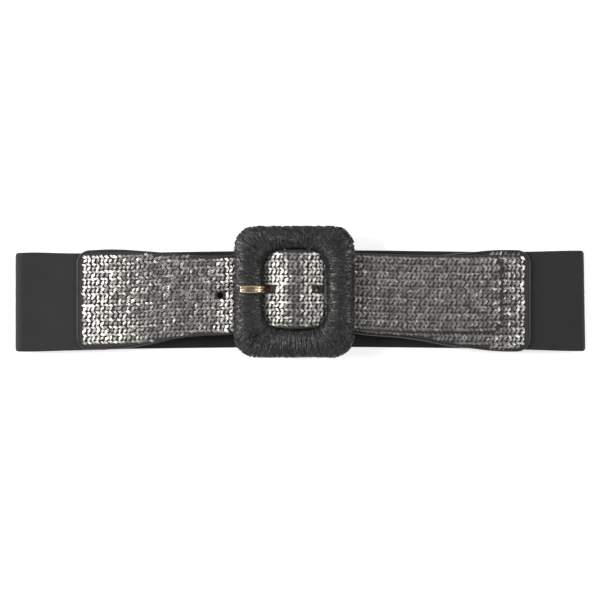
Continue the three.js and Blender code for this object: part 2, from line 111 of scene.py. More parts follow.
def finish_named(name, **values):
    """A new material, its Principled shader's sockets holding these values, and its tree."""
    material = bpy.data.materials.new(name)
    material.use_nodes = True
    shader = material.node_tree.nodes["Principled BSDF"]
    for key, value in values.items():
        shader.inputs[key.replace("_", " ")].default_value = value
    return material, material.node_tree


def patterned(tree, factor, dark, light, rough=None, bump=None):
    """Mixes a finish's colour by a factor.

    rough is a pattern with the lowest and highest roughness, bump a height with its strength and
    its depth in millimetres.
    """
    shader = tree.nodes["Principled BSDF"]
    colours = {"Factor": factor, 6: linear(dark), 7: linear(light)}
    shade = add(tree, "ShaderNodeMix", colours, data_type="RGBA")
    tree.links.new(shade.outputs[2], shader.inputs["Base Color"])
    if rough:
        ranged = add(tree, "ShaderNodeMapRange", {"Value": rough[0], 3: rough[1], 4: rough[2]})
        tree.links.new(ranged.outputs[0], shader.inputs["Roughness"])
    if bump:
        height, strength, depth = bump
        relief = {"Strength": strength, "Distance": depth * MM, "Height": height}
        tree.links.new(add(tree, "ShaderNodeBump", relief).outputs[0], shader.inputs["Normal"])
    print("finish from", dark, "to", light, "of", len(tree.nodes), "nodes")


print("middle grey in linear light:", round(linear("#808080")[0], 3))

# %% [markdown]
# ## Floor and studio light
# The floor is an opal light table, lit a little from below, so that no shadow greys it. Shiny yarn
# shows the lights as much as its own colour: the knit is bright where it tips to the left, darker where
# it lies level, and fairly bright where it tips to the right. So a strong soft box stands at the left
# and a weaker one at the right. Two long ones, in front and behind, light the raffia, and a low one at
# the far left lights the fold there. Nothing bright hangs overhead, where the camera is.

# %% Floor and lights
FLOOR_REACH, FLOOR_DROP = 3, 0.2 * MM
table_top, _ = finish_named(
    "opal_light_table",
    Base_Color=linear("#f6f6f6"),
    Roughness=0.9,
    Emission_Color=linear("#ffffff"),
    Emission_Strength=0.5,
)
floor_corners = [
    (x * FLOOR_REACH, y * FLOOR_REACH, -FLOOR_DROP) for x, y in ((-1, -1), (1, -1), (1, 1), (-1, 1))
]
floor_mesh = bpy.data.meshes.new("floor")
floor_mesh.from_pydata(floor_corners, [], [(0, 1, 2, 3)])
floor_mesh.materials.append(table_top)
floor = in_scene("floor", floor_mesh)

# Each box: its place and size in metres, and its watts. All of them face the belt.
SOFT_BOXES = {
    "left_box": ((-0.92, 0.1, 0.9), (0.4, 0.6), 8.8),
    "right_box": ((0.92, 0.1, 0.9), (0.4, 0.6), 6),
    "low_box": ((0, -1.5, 1.0), (1.8, 0.6), 4.5),
    "high_box": ((0, 1.6, 1.0), (1.8, 0.6), 5),
    "left_low_box": ((-1.3, 0.2, 0.45), (0.5, 0.9), 8),
}
for name, (place, size, watts) in SOFT_BOXES.items():
    light = bpy.data.lights.new(name, "AREA")
    light.shape = "RECTANGLE"
    light.size, light.size_y = size
    light.energy = watts
    holder = in_scene(name, light)
    holder.location = place
    holder.rotation_euler = (-holder.location).to_track_quat("-Z", "Y").to_euler()
world = bpy.data.worlds.new("studio")
world.use_nodes = True
world.node_tree.nodes["Background"].inputs["Color"].default_value = linear("#f4f5f8")
world.node_tree.nodes["Background"].inputs["Strength"].default_value = 0.15
scene.world = world
print("soft boxes:", len(SOFT_BOXES), "of", sum(box[2] for box in SOFT_BOXES.values()), "W in all")

# %% [markdown]
# ## The belt's lines
# Every cloth piece follows a path in the XZ plane, from its end along the belt, and an outline that
# gives its middle line and half its width. The numbers repeat the CAD source, in millimetres, because
# a dressed piece has to lie where its solid lies. A path knows its outward side, so a layer is a
# distance off the path.

# %% Sizes and levels
LOOP_LENGTH, FOLD_HEIGHT, ARCH_RISE, ARCH_RUN = 352.2, 11, 6.7, 85
BELT_DROP, LAYER_GAP = 5.9, 0.3
ELASTIC_WIDTH, ELASTIC_SEWN = 60, 18
FOLD_DRAW_IN, FOLD_LEAN = 1.6, 0.016
BACKING_THICKNESS, FACING_THICKNESS = 1, 1
WIDE_END_WIDTH, TAIL_WIDTH, TAB_WIDTH, THREADED_WIDTH = 61.5, 47.7, 62.6, 48.2
WIDE_END_INSET, TAB_INSET, TAIL_LENGTH, TAB_FOLDED_BACK = 38.9, 34.2, 91.7, 38
BAR_RADIUS, BAR_HEIGHT, FRAME_THICKNESS, RAMP_INSET = 1.5, 2, 9, 1.2
BUCKLE_SIZE, WINDOW_SIZE = np.array([73.1, 80.0]), np.array([39.2, 49.0])
BUCKLE_SHIFT, WINDOW_SHIFT, WINDOW_LIFT = -3.5, 0.5, 1.35
STRAP_THICKNESS = BACKING_THICKNESS + LAYER_GAP + FACING_THICKNESS
LAYER = STRAP_THICKNESS + LAYER_GAP
strap_level = FOLD_HEIGHT + ARCH_RISE + LAYER_GAP
tab_level = strap_level - LAYER
frame_middle = strap_level + LAYER + FRAME_THICKNESS / 2
bar_level = strap_level + LAYER + BAR_HEIGHT
wrap_radius = BAR_RADIUS + LAYER_GAP
loop_end, fold_radius = LOOP_LENGTH / 2, FOLD_HEIGHT / 2
fold_centre = loop_end - fold_radius
buckle_left, buckle_right = BUCKLE_SHIFT - BUCKLE_SIZE[0] / 2, BUCKLE_SHIFT + BUCKLE_SIZE[0] / 2
window_x = BUCKLE_SHIFT + WINDOW_SHIFT
window_left, window_right = window_x - WINDOW_SIZE[0] / 2, window_x + WINDOW_SIZE[0] / 2
left_bar, right_bar = (buckle_left + window_left) / 2, (buckle_right + window_right) / 2
ramp_left, ramp_right = left_bar + RAMP_INSET, right_bar - RAMP_INSET
wide_end, tab_end, tip = WIDE_END_INSET - loop_end, loop_end - TAB_INSET, buckle_right + TAIL_LENGTH
print("strap", round(strap_level, 1), "mm up, centre bar", round(bar_level, 1), "mm up")


# %% Curves and paths
def eased(x, low, high):
    """0 below low, 1 above high and a smooth step between them."""
    share = np.clip((x - low) / (high - low), 0, 1)
    return share * share * (3 - 2 * share)


def between(a, b, share):
    """The value at a share of the way from a to b."""
    return a + (b - a) * share


def run(start, end, height):
    """Points 1 mm apart over x, at the height that a function gives."""
    x = np.linspace(start, end, math.ceil(abs(end - start)) + 1)
    return np.stack([x, height(x) + 0 * x], axis=1)


def arc(x, z, radius, first, last):
    """Points on an arc round (x, z), from the first angle to the last, in degrees."""
    angle = np.radians(np.linspace(first, last, 41))
    return np.stack([x + radius * np.cos(angle), z + radius * np.sin(angle)], axis=1)


def path_of(*stretches):
    """A path through the stretches of points, with distance along it, heading and outward side."""
    points = np.concatenate([s if i == 0 else s[1:] for i, s in enumerate(stretches)])
    along = np.concatenate([[0], np.cumsum(np.linalg.norm(np.diff(points, axis=0), axis=1))])
    ahead = np.concatenate([points[1:], points[-1:]]) - np.concatenate([points[:1], points[:-1]])
    heading = ahead / np.linalg.norm(ahead, axis=1)[:, None]
    outward = np.stack([heading[:, 1], -heading[:, 0]], axis=1)
    return SimpleNamespace(points=points, along=along, heading=heading, outward=outward)


print("half turn of the elastic:", round(path_of(arc(0, 0, fold_radius, 90, 270)).along[-1], 1), "mm")


# %% Outlines
def outline_of(rows):
    """Middle line and half width over x: smooth curves through rows of x, middle and half."""
    at, values = np.array([r[0] for r in rows]), np.array([r[1:] for r in rows])
    slope = np.diff(values, axis=0) / np.diff(at)[:, None]
    tangent = np.concatenate([slope[:1], (slope[1:] + slope[:-1]) / 2, slope[-1:]])

    def outline(x):
        x = np.clip(x, at[0], at[-1])
        i = np.clip(np.searchsorted(at, x) - 1, 0, len(at) - 2)
        width = (at[i + 1] - at[i])[:, None]
        t = (x[:, None] - at[i][:, None]) / width
        value = (2 * t**3 - 3 * t**2 + 1) * values[i] + (3 * t**2 - 2 * t**3) * values[i + 1]
        value += (t**3 - 2 * t**2 + t) * width * tangent[i] + (t**3 - t**2) * width * tangent[i + 1]
        return value[:, 0], value[:, 1], 0 * x

    return outline


def rows_of(table, start, end, width):
    """A table's shares as rows in millimetres, for the stretch from start to end."""
    return [(between(start, end, at), -low * BELT_DROP, wide * width / 2) for at, wide, low in table]


# Each row: share of the stretch, share of the width, and how low the middle line lies. The strap and
# the tab are threaded through one window, so they share its rows.
ELASTIC_TABLE = [(-1, 1.02, 1.1), (-0.93, 1.024, 1.07), (-0.8, 1.002, 1.06), (-0.5, 1, 0.9)]
ELASTIC_TABLE += [(0.1, 1.006, 0.72), (0.5, 1.006, 0.82), (0.78, 1.01, 0.93), (0.93, 1.035, 0.95)]
ELASTIC_TABLE += [(1, 1.04, 0.95)]
WIDE_END_TABLE = [(0, 0.995, 0.9), (0.1, 0.998, 0.86), (0.2, 1, 0.8), (0.31, 0.987, 0.77)]
WIDE_END_TABLE += [(0.41, 0.95, 0.7), (0.51, 0.905, 0.59), (0.61, 0.85, 0.49), (0.71, 0.816, 0.44)]
WIDE_END_TABLE += [(0.82, 0.795, 0.4), (0.97, 0.79, 0.32)]
TAIL_TABLE = [(0.04, 0.99, 0), (0.3, 1, 0.17), (0.6, 1, 0.25), (1, 0.995, 0.24)]
TAB_TABLE = [(0.04, 0.775, 0.34), (0.26, 0.783, 0.64), (0.4, 0.823, 0.79), (0.49, 0.877, 0.85)]
TAB_TABLE += [(0.58, 0.92, 0.88), (0.67, 0.949, 0.9), (0.76, 0.984, 0.92), (0.86, 1, 0.94)]
TAB_TABLE += [(1, 0.995, 0.95)]
threaded = [
    (x, WINDOW_LIFT, share * THREADED_WIDTH / 2)
    for x, share in ((window_left, 0.975), (window_x, 1), (window_right, 0.975))
]
elastic_rows = outline_of(rows_of(ELASTIC_TABLE, 0, loop_end, ELASTIC_WIDTH))
strap_outline = outline_of(
    rows_of(WIDE_END_TABLE, wide_end, buckle_left, WIDE_END_WIDTH)
    + threaded
    + rows_of(TAIL_TABLE, buckle_right, tip, TAIL_WIDTH)
)
tab_outline = outline_of(threaded + rows_of(TAB_TABLE, buckle_right, tab_end, TAB_WIDTH))


def corner_inset(radius, distance):
    """How much a rounded corner takes off the side at a distance from the end."""
    into = np.clip(radius - distance, 0, radius)
    return radius - np.sqrt(radius**2 - into**2) if radius else 0 * distance


def elastic_outline(x):
    """The elastic draws in at its edges round each fold, and the right fold leans a little."""
    centre, half, _ = elastic_rows(x)
    half = half - corner_inset(FOLD_DRAW_IN, loop_end - np.abs(x))
    return centre, half, -FOLD_LEAN * eased(x, tab_end, fold_centre)


print("widths at the window:", [round(2 * row[2], 1) for row in threaded])


# %% The three paths
def rise(level, from_fold):
    """Height of the front run at a distance from a fold: up from the fold to its level."""
    return between(FOLD_HEIGHT, level - LAYER_GAP, eased(from_fold, 0, ARCH_RUN))


over_bar, under_bar = bar_level + wrap_radius, bar_level - wrap_radius
tab_upper = run(
    tab_end,
    window_x,
    lambda x: between(
        over_bar,
        np.minimum(tab_level, rise(tab_level, fold_centre - x) + LAYER_GAP),
        eased(x, window_x, ramp_right),
    ),
)
tab_lower = run(
    window_x,
    window_x + TAB_FOLDED_BACK,
    lambda x: between(under_bar, tab_level - LAYER_GAP, eased(x, window_x, ramp_right)),
)
tab_path = path_of(tab_upper, arc(window_x, bar_level, wrap_radius, 90, 270), tab_lower)
above_tab = path_of(tab_upper)
kept = above_tab.points[:, 0] <= tip
strap_path = path_of(
    (above_tab.points + LAYER * above_tab.outward)[kept],
    run(
        window_x,
        wide_end,
        lambda x: between(
            np.minimum(strap_level, rise(strap_level, x + fold_centre) + LAYER_GAP),
            over_bar + LAYER,
            eased(x, ramp_left, window_x),
        ),
    ),
)
elastic_path = path_of(
    run(wide_end + ELASTIC_SEWN, -fold_centre, lambda x: rise(strap_level, x + fold_centre)),
    arc(-fold_centre, fold_radius, fold_radius, 90, 270),
    run(-fold_centre, fold_centre, lambda x: 0 * x),
    arc(fold_centre, fold_radius, fold_radius, -90, 90),
    run(fold_centre, tab_end - ELASTIC_SEWN, lambda x: rise(tab_level, fold_centre - x)),
)
for label, path in (("elastic", elastic_path), ("strap", strap_path), ("tab", tab_path)):
    print(label, "cut", round(path.along[-1], 1), "mm long")

# %% [markdown]
# ## A leaf of cloth or leather
# A leather part, a facing and the elastic are all one thing in shape: a closed leaf with rounded
# corners and a rounded edge. The leaf is a grid over and a grid under, and between them a border of
# rings that walks from the top face out over the edge and back underneath. Each ring is a distance
# in from the outline and a depth off the path. The UV map holds the flat cut, in metres, so a
# pattern or a stitch can be laid out flat and still follow the folded piece. The underside's map
# lies a metre beside the top's.

# %% Mesh helpers
def mesh_object(name, points_mm, faces):
    """A new object from points in millimetres and faces."""
    mesh = bpy.data.meshes.new(name)
    mesh.from_pydata((np.asarray(points_mm) * MM).tolist(), [], faces)
    return in_scene(name, mesh)


def grid_faces(cell):
    """The quads of a grid of point numbers."""
    corners = (cell[:-1, :-1], cell[1:, :-1], cell[1:, 1:], cell[:-1, 1:])
    return np.stack([c.ravel() for c in corners], axis=1)


def face_outwards(made):
    """Turns all faces of a closed mesh outwards."""
    work = bmesh.new()
    work.from_mesh(made.data)
    bmesh.ops.recalc_face_normals(work, faces=work.faces)
    work.to_mesh(made.data)
    work.free()
    made.data.polygons.foreach_set("use_smooth", [True] * len(made.data.polygons))


# %% The flat cut
def stations(path, corners, step, turn=math.radians(7)):
    """Distances along a path: close together in rounded corners and where the path turns."""
    quarter = 1 - np.cos(np.linspace(0, math.pi / 2, 10))
    first = corners[0] * quarter if corners[0] else np.zeros(1)
    last = path.along[-1] - (corners[1] * quarter[::-1] if corners[1] else np.zeros(1))
    angle = np.unwrap(np.arctan2(path.heading[:, 1], path.heading[:, 0]))
    effort = np.diff(path.along) / step + np.abs(np.diff(angle)) / turn
    effort = np.concatenate([[0], np.cumsum(effort)])
    low, high = np.interp([first[-1], last[0]], path.along, effort)
    middle = np.interp(np.linspace(low, high, math.ceil(high - low) + 1), effort, path.along)
    return np.concatenate([first, middle[1:-1], last])


def lay(path, outline, flat, depth):
    """Carries points of the flat cut (distance along, distance across) onto the path."""
    s, t = flat[:, 0], flat[:, 1]
    x, z = (np.interp(s, path.along, path.points[:, i]) for i in (0, 1))
    out = np.stack([np.interp(s, path.along, path.outward[:, i]) for i in (0, 1)], axis=1)
    out /= np.linalg.norm(out, axis=1)[:, None]
    centre, _, lean = outline(x)
    return np.stack([x + depth * out[:, 0] + lean * t, centre + t, z + depth * out[:, 1]], axis=1)


def flat_cut(path, outline, corners, step, across):
    """The cut's grid in the flat, and the numbers of its border points in order round it."""
    s = stations(path, corners, step)
    half = outline(np.interp(s, path.along, path.points[:, 0]))[1]
    half = half - corner_inset(corners[0], s) - corner_inset(corners[1], path.along[-1] - s)
    share = 1 - 2 * np.arange(across + 1) / across
    grid = np.stack([np.repeat(s, across + 1), (half[:, None] * share).ravel()], axis=1)
    cell = np.arange(len(grid)).reshape(len(s), across + 1)
    border = np.concatenate([cell[:, 0], cell[-1, 1:], cell[-2::-1, -1], cell[0, -2:0:-1]])
    return grid, cell, border


def cut_area(path, outline, corners):
    """Area of the flat cut, in square metres."""
    grid, cell, _ = flat_cut(path, outline, corners, 2, 2)
    s, half = grid[cell[:, 0]].T
    return float(np.sum(np.diff(s) * (half[1:] + half[:-1])) * MM * MM)


for label, path, outline in (("strap", strap_path, strap_outline), ("tab", tab_path, tab_outline)):
    print(label, "cut, its corners square:", round(cut_area(path, outline, (0, 0)), 4), "square metres")

# %% Leaf builder
WIDE_END_STOPS, NARROW_FROM = -112, -62


def past_wide_end(path, s):
    """0 where the path is at the strap's wide end, 1 from near the buckle to the tip."""
    return eased(np.interp(s, path.along, path.points[:, 0]), WIDE_END_STOPS, NARROW_FROM)


def inset(edge, distance):
    """The border moved into the cut by a distance, or by one for each point."""
    ahead = np.roll(edge, -1, axis=0) - np.roll(edge, 1, axis=0)
    ahead /= np.linalg.norm(ahead, axis=1)[:, None]
    return edge + np.reshape(distance, (-1, 1)) * np.stack([ahead[:, 1], -ahead[:, 0]], axis=1)


def leaf(name, path, outline, corners, rings, step, across, uneven=0.0, spread=0.0, flatten=0.0):
    """A closed leaf.

    rings are (distance in from the outline, depth) from the top face to the underside. Past the wide
    end the leaf's edge is spread outwards, and what stands above 1 mm is flattened.
    """
    grid, cell, border = flat_cut(path, outline, corners, step, across)
    rows, columns = cell.shape
    edge = grid[border]
    wider = spread * past_wide_end(path, edge[:, 0])

    def sheet_at(distance):
        moved = inset(edge, distance - wider)
        top, bottom = moved[:rows], moved[rows - 1 + columns - 1 :][:rows][::-1]
        share = (np.arange(columns) / (columns - 1))[None, :, None]
        inner = (top[:, None] * (1 - share) + bottom[:, None] * share).reshape(-1, 2)
        inner[border] = moved
        return inner

    flats = [sheet_at(rings[0][0]), *(inset(edge, d - wider) for d, _ in rings[1:-1])]
    flats.append(sheet_at(rings[-1][0]))
    depths = [
        depth - flatten * max(depth - 1, 0) * past_wide_end(path, flat[:, 0])
        for flat, (_, depth) in zip(flats, rings)
    ]
    edge_ring = int(np.argmin([d for d, _ in rings]))
    # Low waves over the upper face, because no knit lies quite flat.
    for flat, depth in list(zip(flats, depths))[:edge_ring]:
        s, t = flat[:, 0], flat[:, 1]
        waves = np.sin(s / 4.1 + 0.21 * t) + np.sin(t / 3.3 + 1 + s / 11) + np.sin(s / 7.7 - t / 5.3)
        depth += uneven * waves
    flat, depth = np.concatenate(flats), np.concatenate(depths)
    counts = [len(f) for f in flats]
    starts = np.concatenate([[0], np.cumsum(counts)])
    loops = [border, *(starts[i] + np.arange(counts[i]) for i in range(1, len(flats) - 1))]
    loops.append(starts[-2] + border)
    top = grid_faces(cell)
    strips = [
        np.stack([a, np.roll(a, -1), np.roll(b, -1), b], axis=1) for a, b in zip(loops[:-1], loops[1:])
    ]
    faces = np.concatenate([top, *strips, (starts[-2] + top)[:, ::-1]])
    on_top = len(top) + sum(len(s) for s in strips[:edge_ring])
    made = mesh_object(name, lay(path, outline, flat, depth), faces.tolist())
    where = flat[faces.ravel()] * MM
    where[4 * on_top :, 1] -= 1
    made.data.uv_layers.new(name="flat_cut").data.foreach_set("uv", where.ravel())
    share = flat[:, 1] / outline(np.interp(flat[:, 0], path.along, path.points[:, 0]))[1]
    made.data.attributes.new("share_across", "FLOAT", "POINT").data.foreach_set("value", share)
    face_outwards(made)
    print(name, len(made.data.polygons), "faces")
    return made


# %% [markdown]
# ## Growing pieces with Geometry Nodes
# What repeats is made by Geometry Nodes: ribs, stitches, windings. The same helpers serve them all. One
# starts a tree with named inputs, and one ends it. The last puts the tree on an object as a modifier,
# sets the inputs by their identifiers, evaluates it and keeps the result as a plain mesh.

# %% Geometry Nodes helpers
SOCKETS = {float: "NodeSocketFloat", int: "NodeSocketInt", type(None): "NodeSocketMaterial"}


def start_tree(name, defaults):
    """A new tree with one geometry in and out, and an input for each default. None is a material."""
    tree = bpy.data.node_groups.new(name, "GeometryNodeTree")
    tree.interface.new_socket("Geometry", in_out="INPUT", socket_type="NodeSocketGeometry")
    for label, value in defaults.items():
        socket = tree.interface.new_socket(label, in_out="INPUT", socket_type=SOCKETS[type(value)])
        if value is not None:
            socket.default_value = value
    tree.interface.new_socket("Geometry", in_out="OUTPUT", socket_type="NodeSocketGeometry")
    return tree, add(tree, "NodeGroupInput").outputs


def end_tree(tree, geometry, material):
    """Every tree ends in Realize Instances and Set Material, so that the result is a plain mesh."""
    real = add(tree, "GeometryNodeRealizeInstances", {"Geometry": geometry})
    painted = add(tree, "GeometryNodeSetMaterial", {"Geometry": real, "Material": material})
    add(tree, "NodeGroupOutput", [painted])


def plain_mesh(source, modifier):
    """The mesh that an object's modifier makes. The modifier is taken off."""
    graph = bpy.context.evaluated_depsgraph_get()
    mesh = bpy.data.meshes.new_from_object(source.evaluated_get(graph), depsgraph=graph)
    source.modifiers.remove(modifier)
    return mesh


def grow(name, source, tree, values, keep_source=True):
    """Runs a tree on an object and returns the result as a new object with a plain mesh."""
    modifier = source.modifiers.new(tree.name, "NODES")
    modifier.node_group = tree
    for item in tree.interface.items_tree:
        if item.item_type == "SOCKET" and item.in_out == "INPUT" and item.name in values:
            modifier[item.identifier] = values[item.name]
    mesh = plain_mesh(source, modifier)
    mesh.name = name
    if not keep_source:
        bpy.data.objects.remove(source)
    mesh.calc_loop_triangles()
    print(name, len(mesh.loop_triangles), "triangles")
    return in_scene(name, mesh)


# %% [markdown]
# ## The elastic
# Woven belt elastic is a band of rubber cores covered with matt black polyester. Its warp stands up as
# fine ribs along the belt, 32 across the width. The band is a leaf with columns fine enough for the
# ribs, and a small tree presses the grooves in between them, so the ribs follow the folds. A fine weft
# crosses the ribs in the material's bump.

# %% Elastic material
WEFT_PITCH = 0.9


def on_the_cut(tree):
    """The place on the flat cut, in millimetres, for a pattern that follows the piece."""
    cut = add(tree, "ShaderNodeUVMap", uv_map="flat_cut")
    return add(tree, "ShaderNodeVectorMath", {0: cut, "Scale": 1000.0}, operation="SCALE")


elastic_cloth, tree = finish_named(
    "woven_polyester_elastic", Roughness=0.78, Sheen_Weight=0.05, Specular_IOR_Level=0.35
)
metric = on_the_cut(tree)
along = add(tree, "ShaderNodeSeparateXYZ", [metric])
weft = add(tree, "ShaderNodeMath", (along, 2 * math.pi / WEFT_PITCH), operation="MULTIPLY")
weft = add(tree, "ShaderNodeMath", [weft], operation="SINE")
fluff = add(tree, "ShaderNodeTexNoise", {"Vector": metric, "Scale": 1.6, "Detail": 3.0})
height = add(tree, "ShaderNodeMath", (weft, 0.35, fluff), operation="MULTIPLY_ADD")
patchy = add(tree, "ShaderNodeTexNoise", {"Vector": metric, "Scale": 0.04, "Detail": 2.0})
patterned(tree, patchy, "#252527", "#2d2d2f", bump=(height, 0.35, 0.1))

# %% Elastic band
# From the place across the band the tree works out a wave, which is 0 on a rib's crest and deepest
# between two ribs.
RIB_PITCH, GROOVE_DEPTH = 1.86, 0.2
ribs, given = start_tree(
    "elastic_ribs", {"Half width": 30.0, "Rib pitch": 1.86, "Groove": 0.0002, "Material": None}
)
groove = add(ribs, "GeometryNodeInputNamedAttribute", {"Name": "share_across"}, data_type="FLOAT")
for operation, value in (
    ("MULTIPLY", given["Half width"]),
    ("DIVIDE", given["Rib pitch"]),
    ("MULTIPLY", math.pi),
    ("SINE", 0.0),
    ("ABSOLUTE", 0.0),
    ("SUBTRACT", 1.0),
    ("MULTIPLY", given["Groove"]),
):
    groove = add(ribs, "ShaderNodeMath", (groove, value), operation=operation)
normal = add(ribs, "GeometryNodeInputNormal")
pressed = add(ribs, "ShaderNodeVectorMath", {0: normal, "Scale": groove}, operation="SCALE")
moved = add(ribs, "GeometryNodeSetPosition", {"Geometry": given["Geometry"], "Offset": pressed})
end_tree(ribs, moved, given["Material"])

BAND_EDGE = [(1.3, 0), (0.5, -0.06), (0.12, -0.35), (0, -0.8), (0.12, -1.25), (0.5, -1.54), (1.3, -1.6)]
plain_band = leaf("elastic_plain", elastic_path, elastic_outline, (0, 0), BAND_EDGE, 4, 128)
rib_sizes = {"Half width": ELASTIC_WIDTH / 2, "Rib pitch": RIB_PITCH, "Groove": GROOVE_DEPTH * MM}
elastic = grow(
    "elastic_band_ribbed",
    plain_band,
    ribs,
    {**rib_sizes, "Material": elastic_cloth},
    keep_source=False,
)

# %% [markdown]
# ## Leather backings
# The strap and the fixed tab are black coated leather, cut with painted edges. At the wide end and on
# the tab the leather turns up slightly round the knit and shows as a narrow smooth rim that catches the
# light; along the tail it lies flat. It has the fine pebble grain of pressed leather, about 0.6 mm
# across, which is too shallow to model, so it is a bump.

# %% Leather
leather, tree = finish_named("coated_leather", Roughness=0.42)
metric = on_the_cut(tree)
grain = add(tree, "ShaderNodeTexVoronoi", {"Vector": metric, "Scale": 1.6})
crease = add(tree, "ShaderNodeTexNoise", {"Vector": metric, "Scale": 0.5, "Detail": 4.0})
height = add(tree, "ShaderNodeMath", (grain, 0.6, crease), operation="MULTIPLY_ADD")
patterned(tree, crease, "#232325", "#39393b", rough=(crease, 0.36, 0.52), bump=(height, 0.4, 0.12))

# %% Strap and tab backings
RIM = [(1.9, 1), (1.45, 1.05), (1.2, 1.45), (0.85, 1.72), (0.45, 1.65), (0.15, 1.3), (0, 0.8)]
RIM += [(0.05, 0.35), (0.3, 0.06), (0.8, 0)]
STRAP_CORNERS, TAB_CORNERS = (7.5, 8), (8.5, 0)


def holes_through(made, holes):
    """Punches round or oval holes, each (x, y, z, tilt, length, width), by a boolean."""
    work = bmesh.new()
    for x, y, z, tilt, length, width in holes:
        pin = bmesh.ops.create_cone(
            work, cap_ends=True, segments=28, radius1=0.5, radius2=0.5, depth=12
        )["verts"]
        bmesh.ops.scale(work, vec=(length, width, 1), verts=pin)
        bmesh.ops.transform(work, matrix=Matrix.Rotation(tilt, 4, "Y"), verts=pin)
        bmesh.ops.translate(work, vec=(x, y, z), verts=pin)
    bmesh.ops.scale(work, vec=(MM, MM, MM), verts=work.verts)
    cutter_mesh = bpy.data.meshes.new("punch")
    work.to_mesh(cutter_mesh)
    work.free()
    cutter = in_scene("punch", cutter_mesh)
    punch = made.modifiers.new("punch", "BOOLEAN")
    punch.object, punch.operation, punch.solver = cutter, "DIFFERENCE", "EXACT"
    made.data = plain_mesh(made, punch)
    bpy.data.objects.remove(cutter)


PRONG_REACH, HOLE_PITCH, HOLE_SIZE, WORN_HOLE_LENGTH = 15.5, 30.5, 3.7, 6.5
SLOT_SHIFT, SLOT_LENGTH, SLOT_WIDTH = -1.7, 10.3, 6.4
hole_in_use = strap_path.along[np.argmax(strap_path.points[:, 0] <= window_x - PRONG_REACH)]
strap_holes = []
for i in (-1, 0, 1):
    x, z, out_x, out_z = (
        float(np.interp(hole_in_use + i * HOLE_PITCH, strap_path.along, values))
        for values in (*strap_path.points.T, *strap_path.outward.T)
    )
    y = float(strap_outline(np.array([x]))[0][0])
    length = WORN_HOLE_LENGTH if i == 0 else HOLE_SIZE
    strap_holes.append((x, y, z, math.atan2(out_x, out_z), length, HOLE_SIZE))
slot_in_fold = [(window_x + SLOT_SHIFT, WINDOW_LIFT, bar_level, 0, SLOT_LENGTH, SLOT_WIDTH)]
strap_leather = leaf("strap_leather", strap_path, strap_outline, STRAP_CORNERS, RIM, 1.6, 24, flatten=1.0)
tab_leather = leaf("tab_leather", tab_path, tab_outline, TAB_CORNERS, RIM, 1.6, 24)
holes_through(strap_leather, strap_holes)
holes_through(tab_leather, slot_in_fold)
for made in (strap_leather, tab_leather):
    made.data.materials.clear()
    made.data.materials.append(leather)

# %% [markdown]
# ## Knit facings
# The facing is knitted from flat silver ribbon yarn. Seen close, each stitch is two short legs that
# slant together into a V. The Vs follow each other every 2.7 mm along the belt, and their rows lie
# 4.6 mm apart. Bump alone would not glitter like this, because the sparkle comes from hundreds of yarn
# legs that each face their own way. So the stitches are real: a tree lays a flat grid of legs on the
# cut, carries each to its place with Sample UV Surface, and leaves out those that fall in a hole or
# come near the edge. Each leg is two flattened strands side by side. Below the legs lies a ground
# skin, whose edge dips along the sewn line. Its colour is dark, and painted darker still as shade.
#
# A knit also has a nap: its legs lie down towards one end of the belt or the other, more in some places
# than in others, and that makes its bright and dark bands. The ground carries this lean as a named
# attribute, and the tree tips each leg by it.

# %% Yarn and ground materials
def streaks(tree, scale, detail, share):
    """Streaks along a strand, added to its tint, which on the raffia is painted light by height."""
    tint = add(tree, "ShaderNodeAttribute", attribute_name="tint").outputs["Fac"]
    where = add(tree, "ShaderNodeTexCoord").outputs["Object"]
    streak = add(tree, "ShaderNodeTexNoise", {"Vector": where, "Scale": scale, "Detail": detail})
    both = add(tree, "ShaderNodeMath", (streak, share, tint), operation="MULTIPLY_ADD", use_clamp=True)
    return streak, both


# The yarn is metal film on a core, so nearly all of it is reflection, broken by fine streaks.
ribbon_yarn, tree = finish_named("silver_ribbon_yarn", Metallic=0.92, Roughness=0.3)
streak, mixed = streaks(tree, 2400.0, 2.0, 0.5)
patterned(tree, mixed, "#716e6a", "#f3f0ea", rough=(streak, 0.26, 0.44), bump=(streak, 0.9, 0.04))

# The ground is a fuzzy dark net, painted darker still for the shade between the legs, where the light
# hardly reaches.
ground_and_shade, tree = finish_named("knit_ground_and_painted_shade", Roughness=0.85, Specular_IOR_Level=0.2)
mesh_noise = add(tree, "ShaderNodeTexNoise", {"Vector": on_the_cut(tree), "Scale": 1.3, "Detail": 3.0})
patterned(tree, mesh_noise, "#2b2a29", "#4c4a48", bump=(mesh_noise, 0.7, 0.2))

# %% Start the stitch tree: a flat grid, and what varies from leg to leg
knit, given = start_tree(
    "knit_stitches",
    {
        "Length": 0.26,
        "Width": 0.063,
        "Stitch pitch": 0.00272,
        "Leg row pitch": 0.0023,
        "Leg pull": 0.0001,
        "Leg length": 0.0033,
        "Leg width": 0.0016,
        "Leg height": 0.0005,
        "Clear of edge": 0.0009,
        "Slant": 0.62,
        "Seed": 7,
        "Material": None,
    },
)
counts = []
for extent, pitch in (("Length", "Stitch pitch"), ("Width", "Leg row pitch")):
    count = given[extent]
    for operation, value in (("DIVIDE", given[pitch]), ("ROUND", 0.0), ("ADD", 1.0)):
        count = add(knit, "ShaderNodeMath", (count, value), operation=operation)
    counts.append(count)
grid = add(
    knit,
    "GeometryNodeMeshGrid",
    {0: given["Length"], 1: given["Width"], "Vertices X": counts[0], "Vertices Y": counts[1]},
)
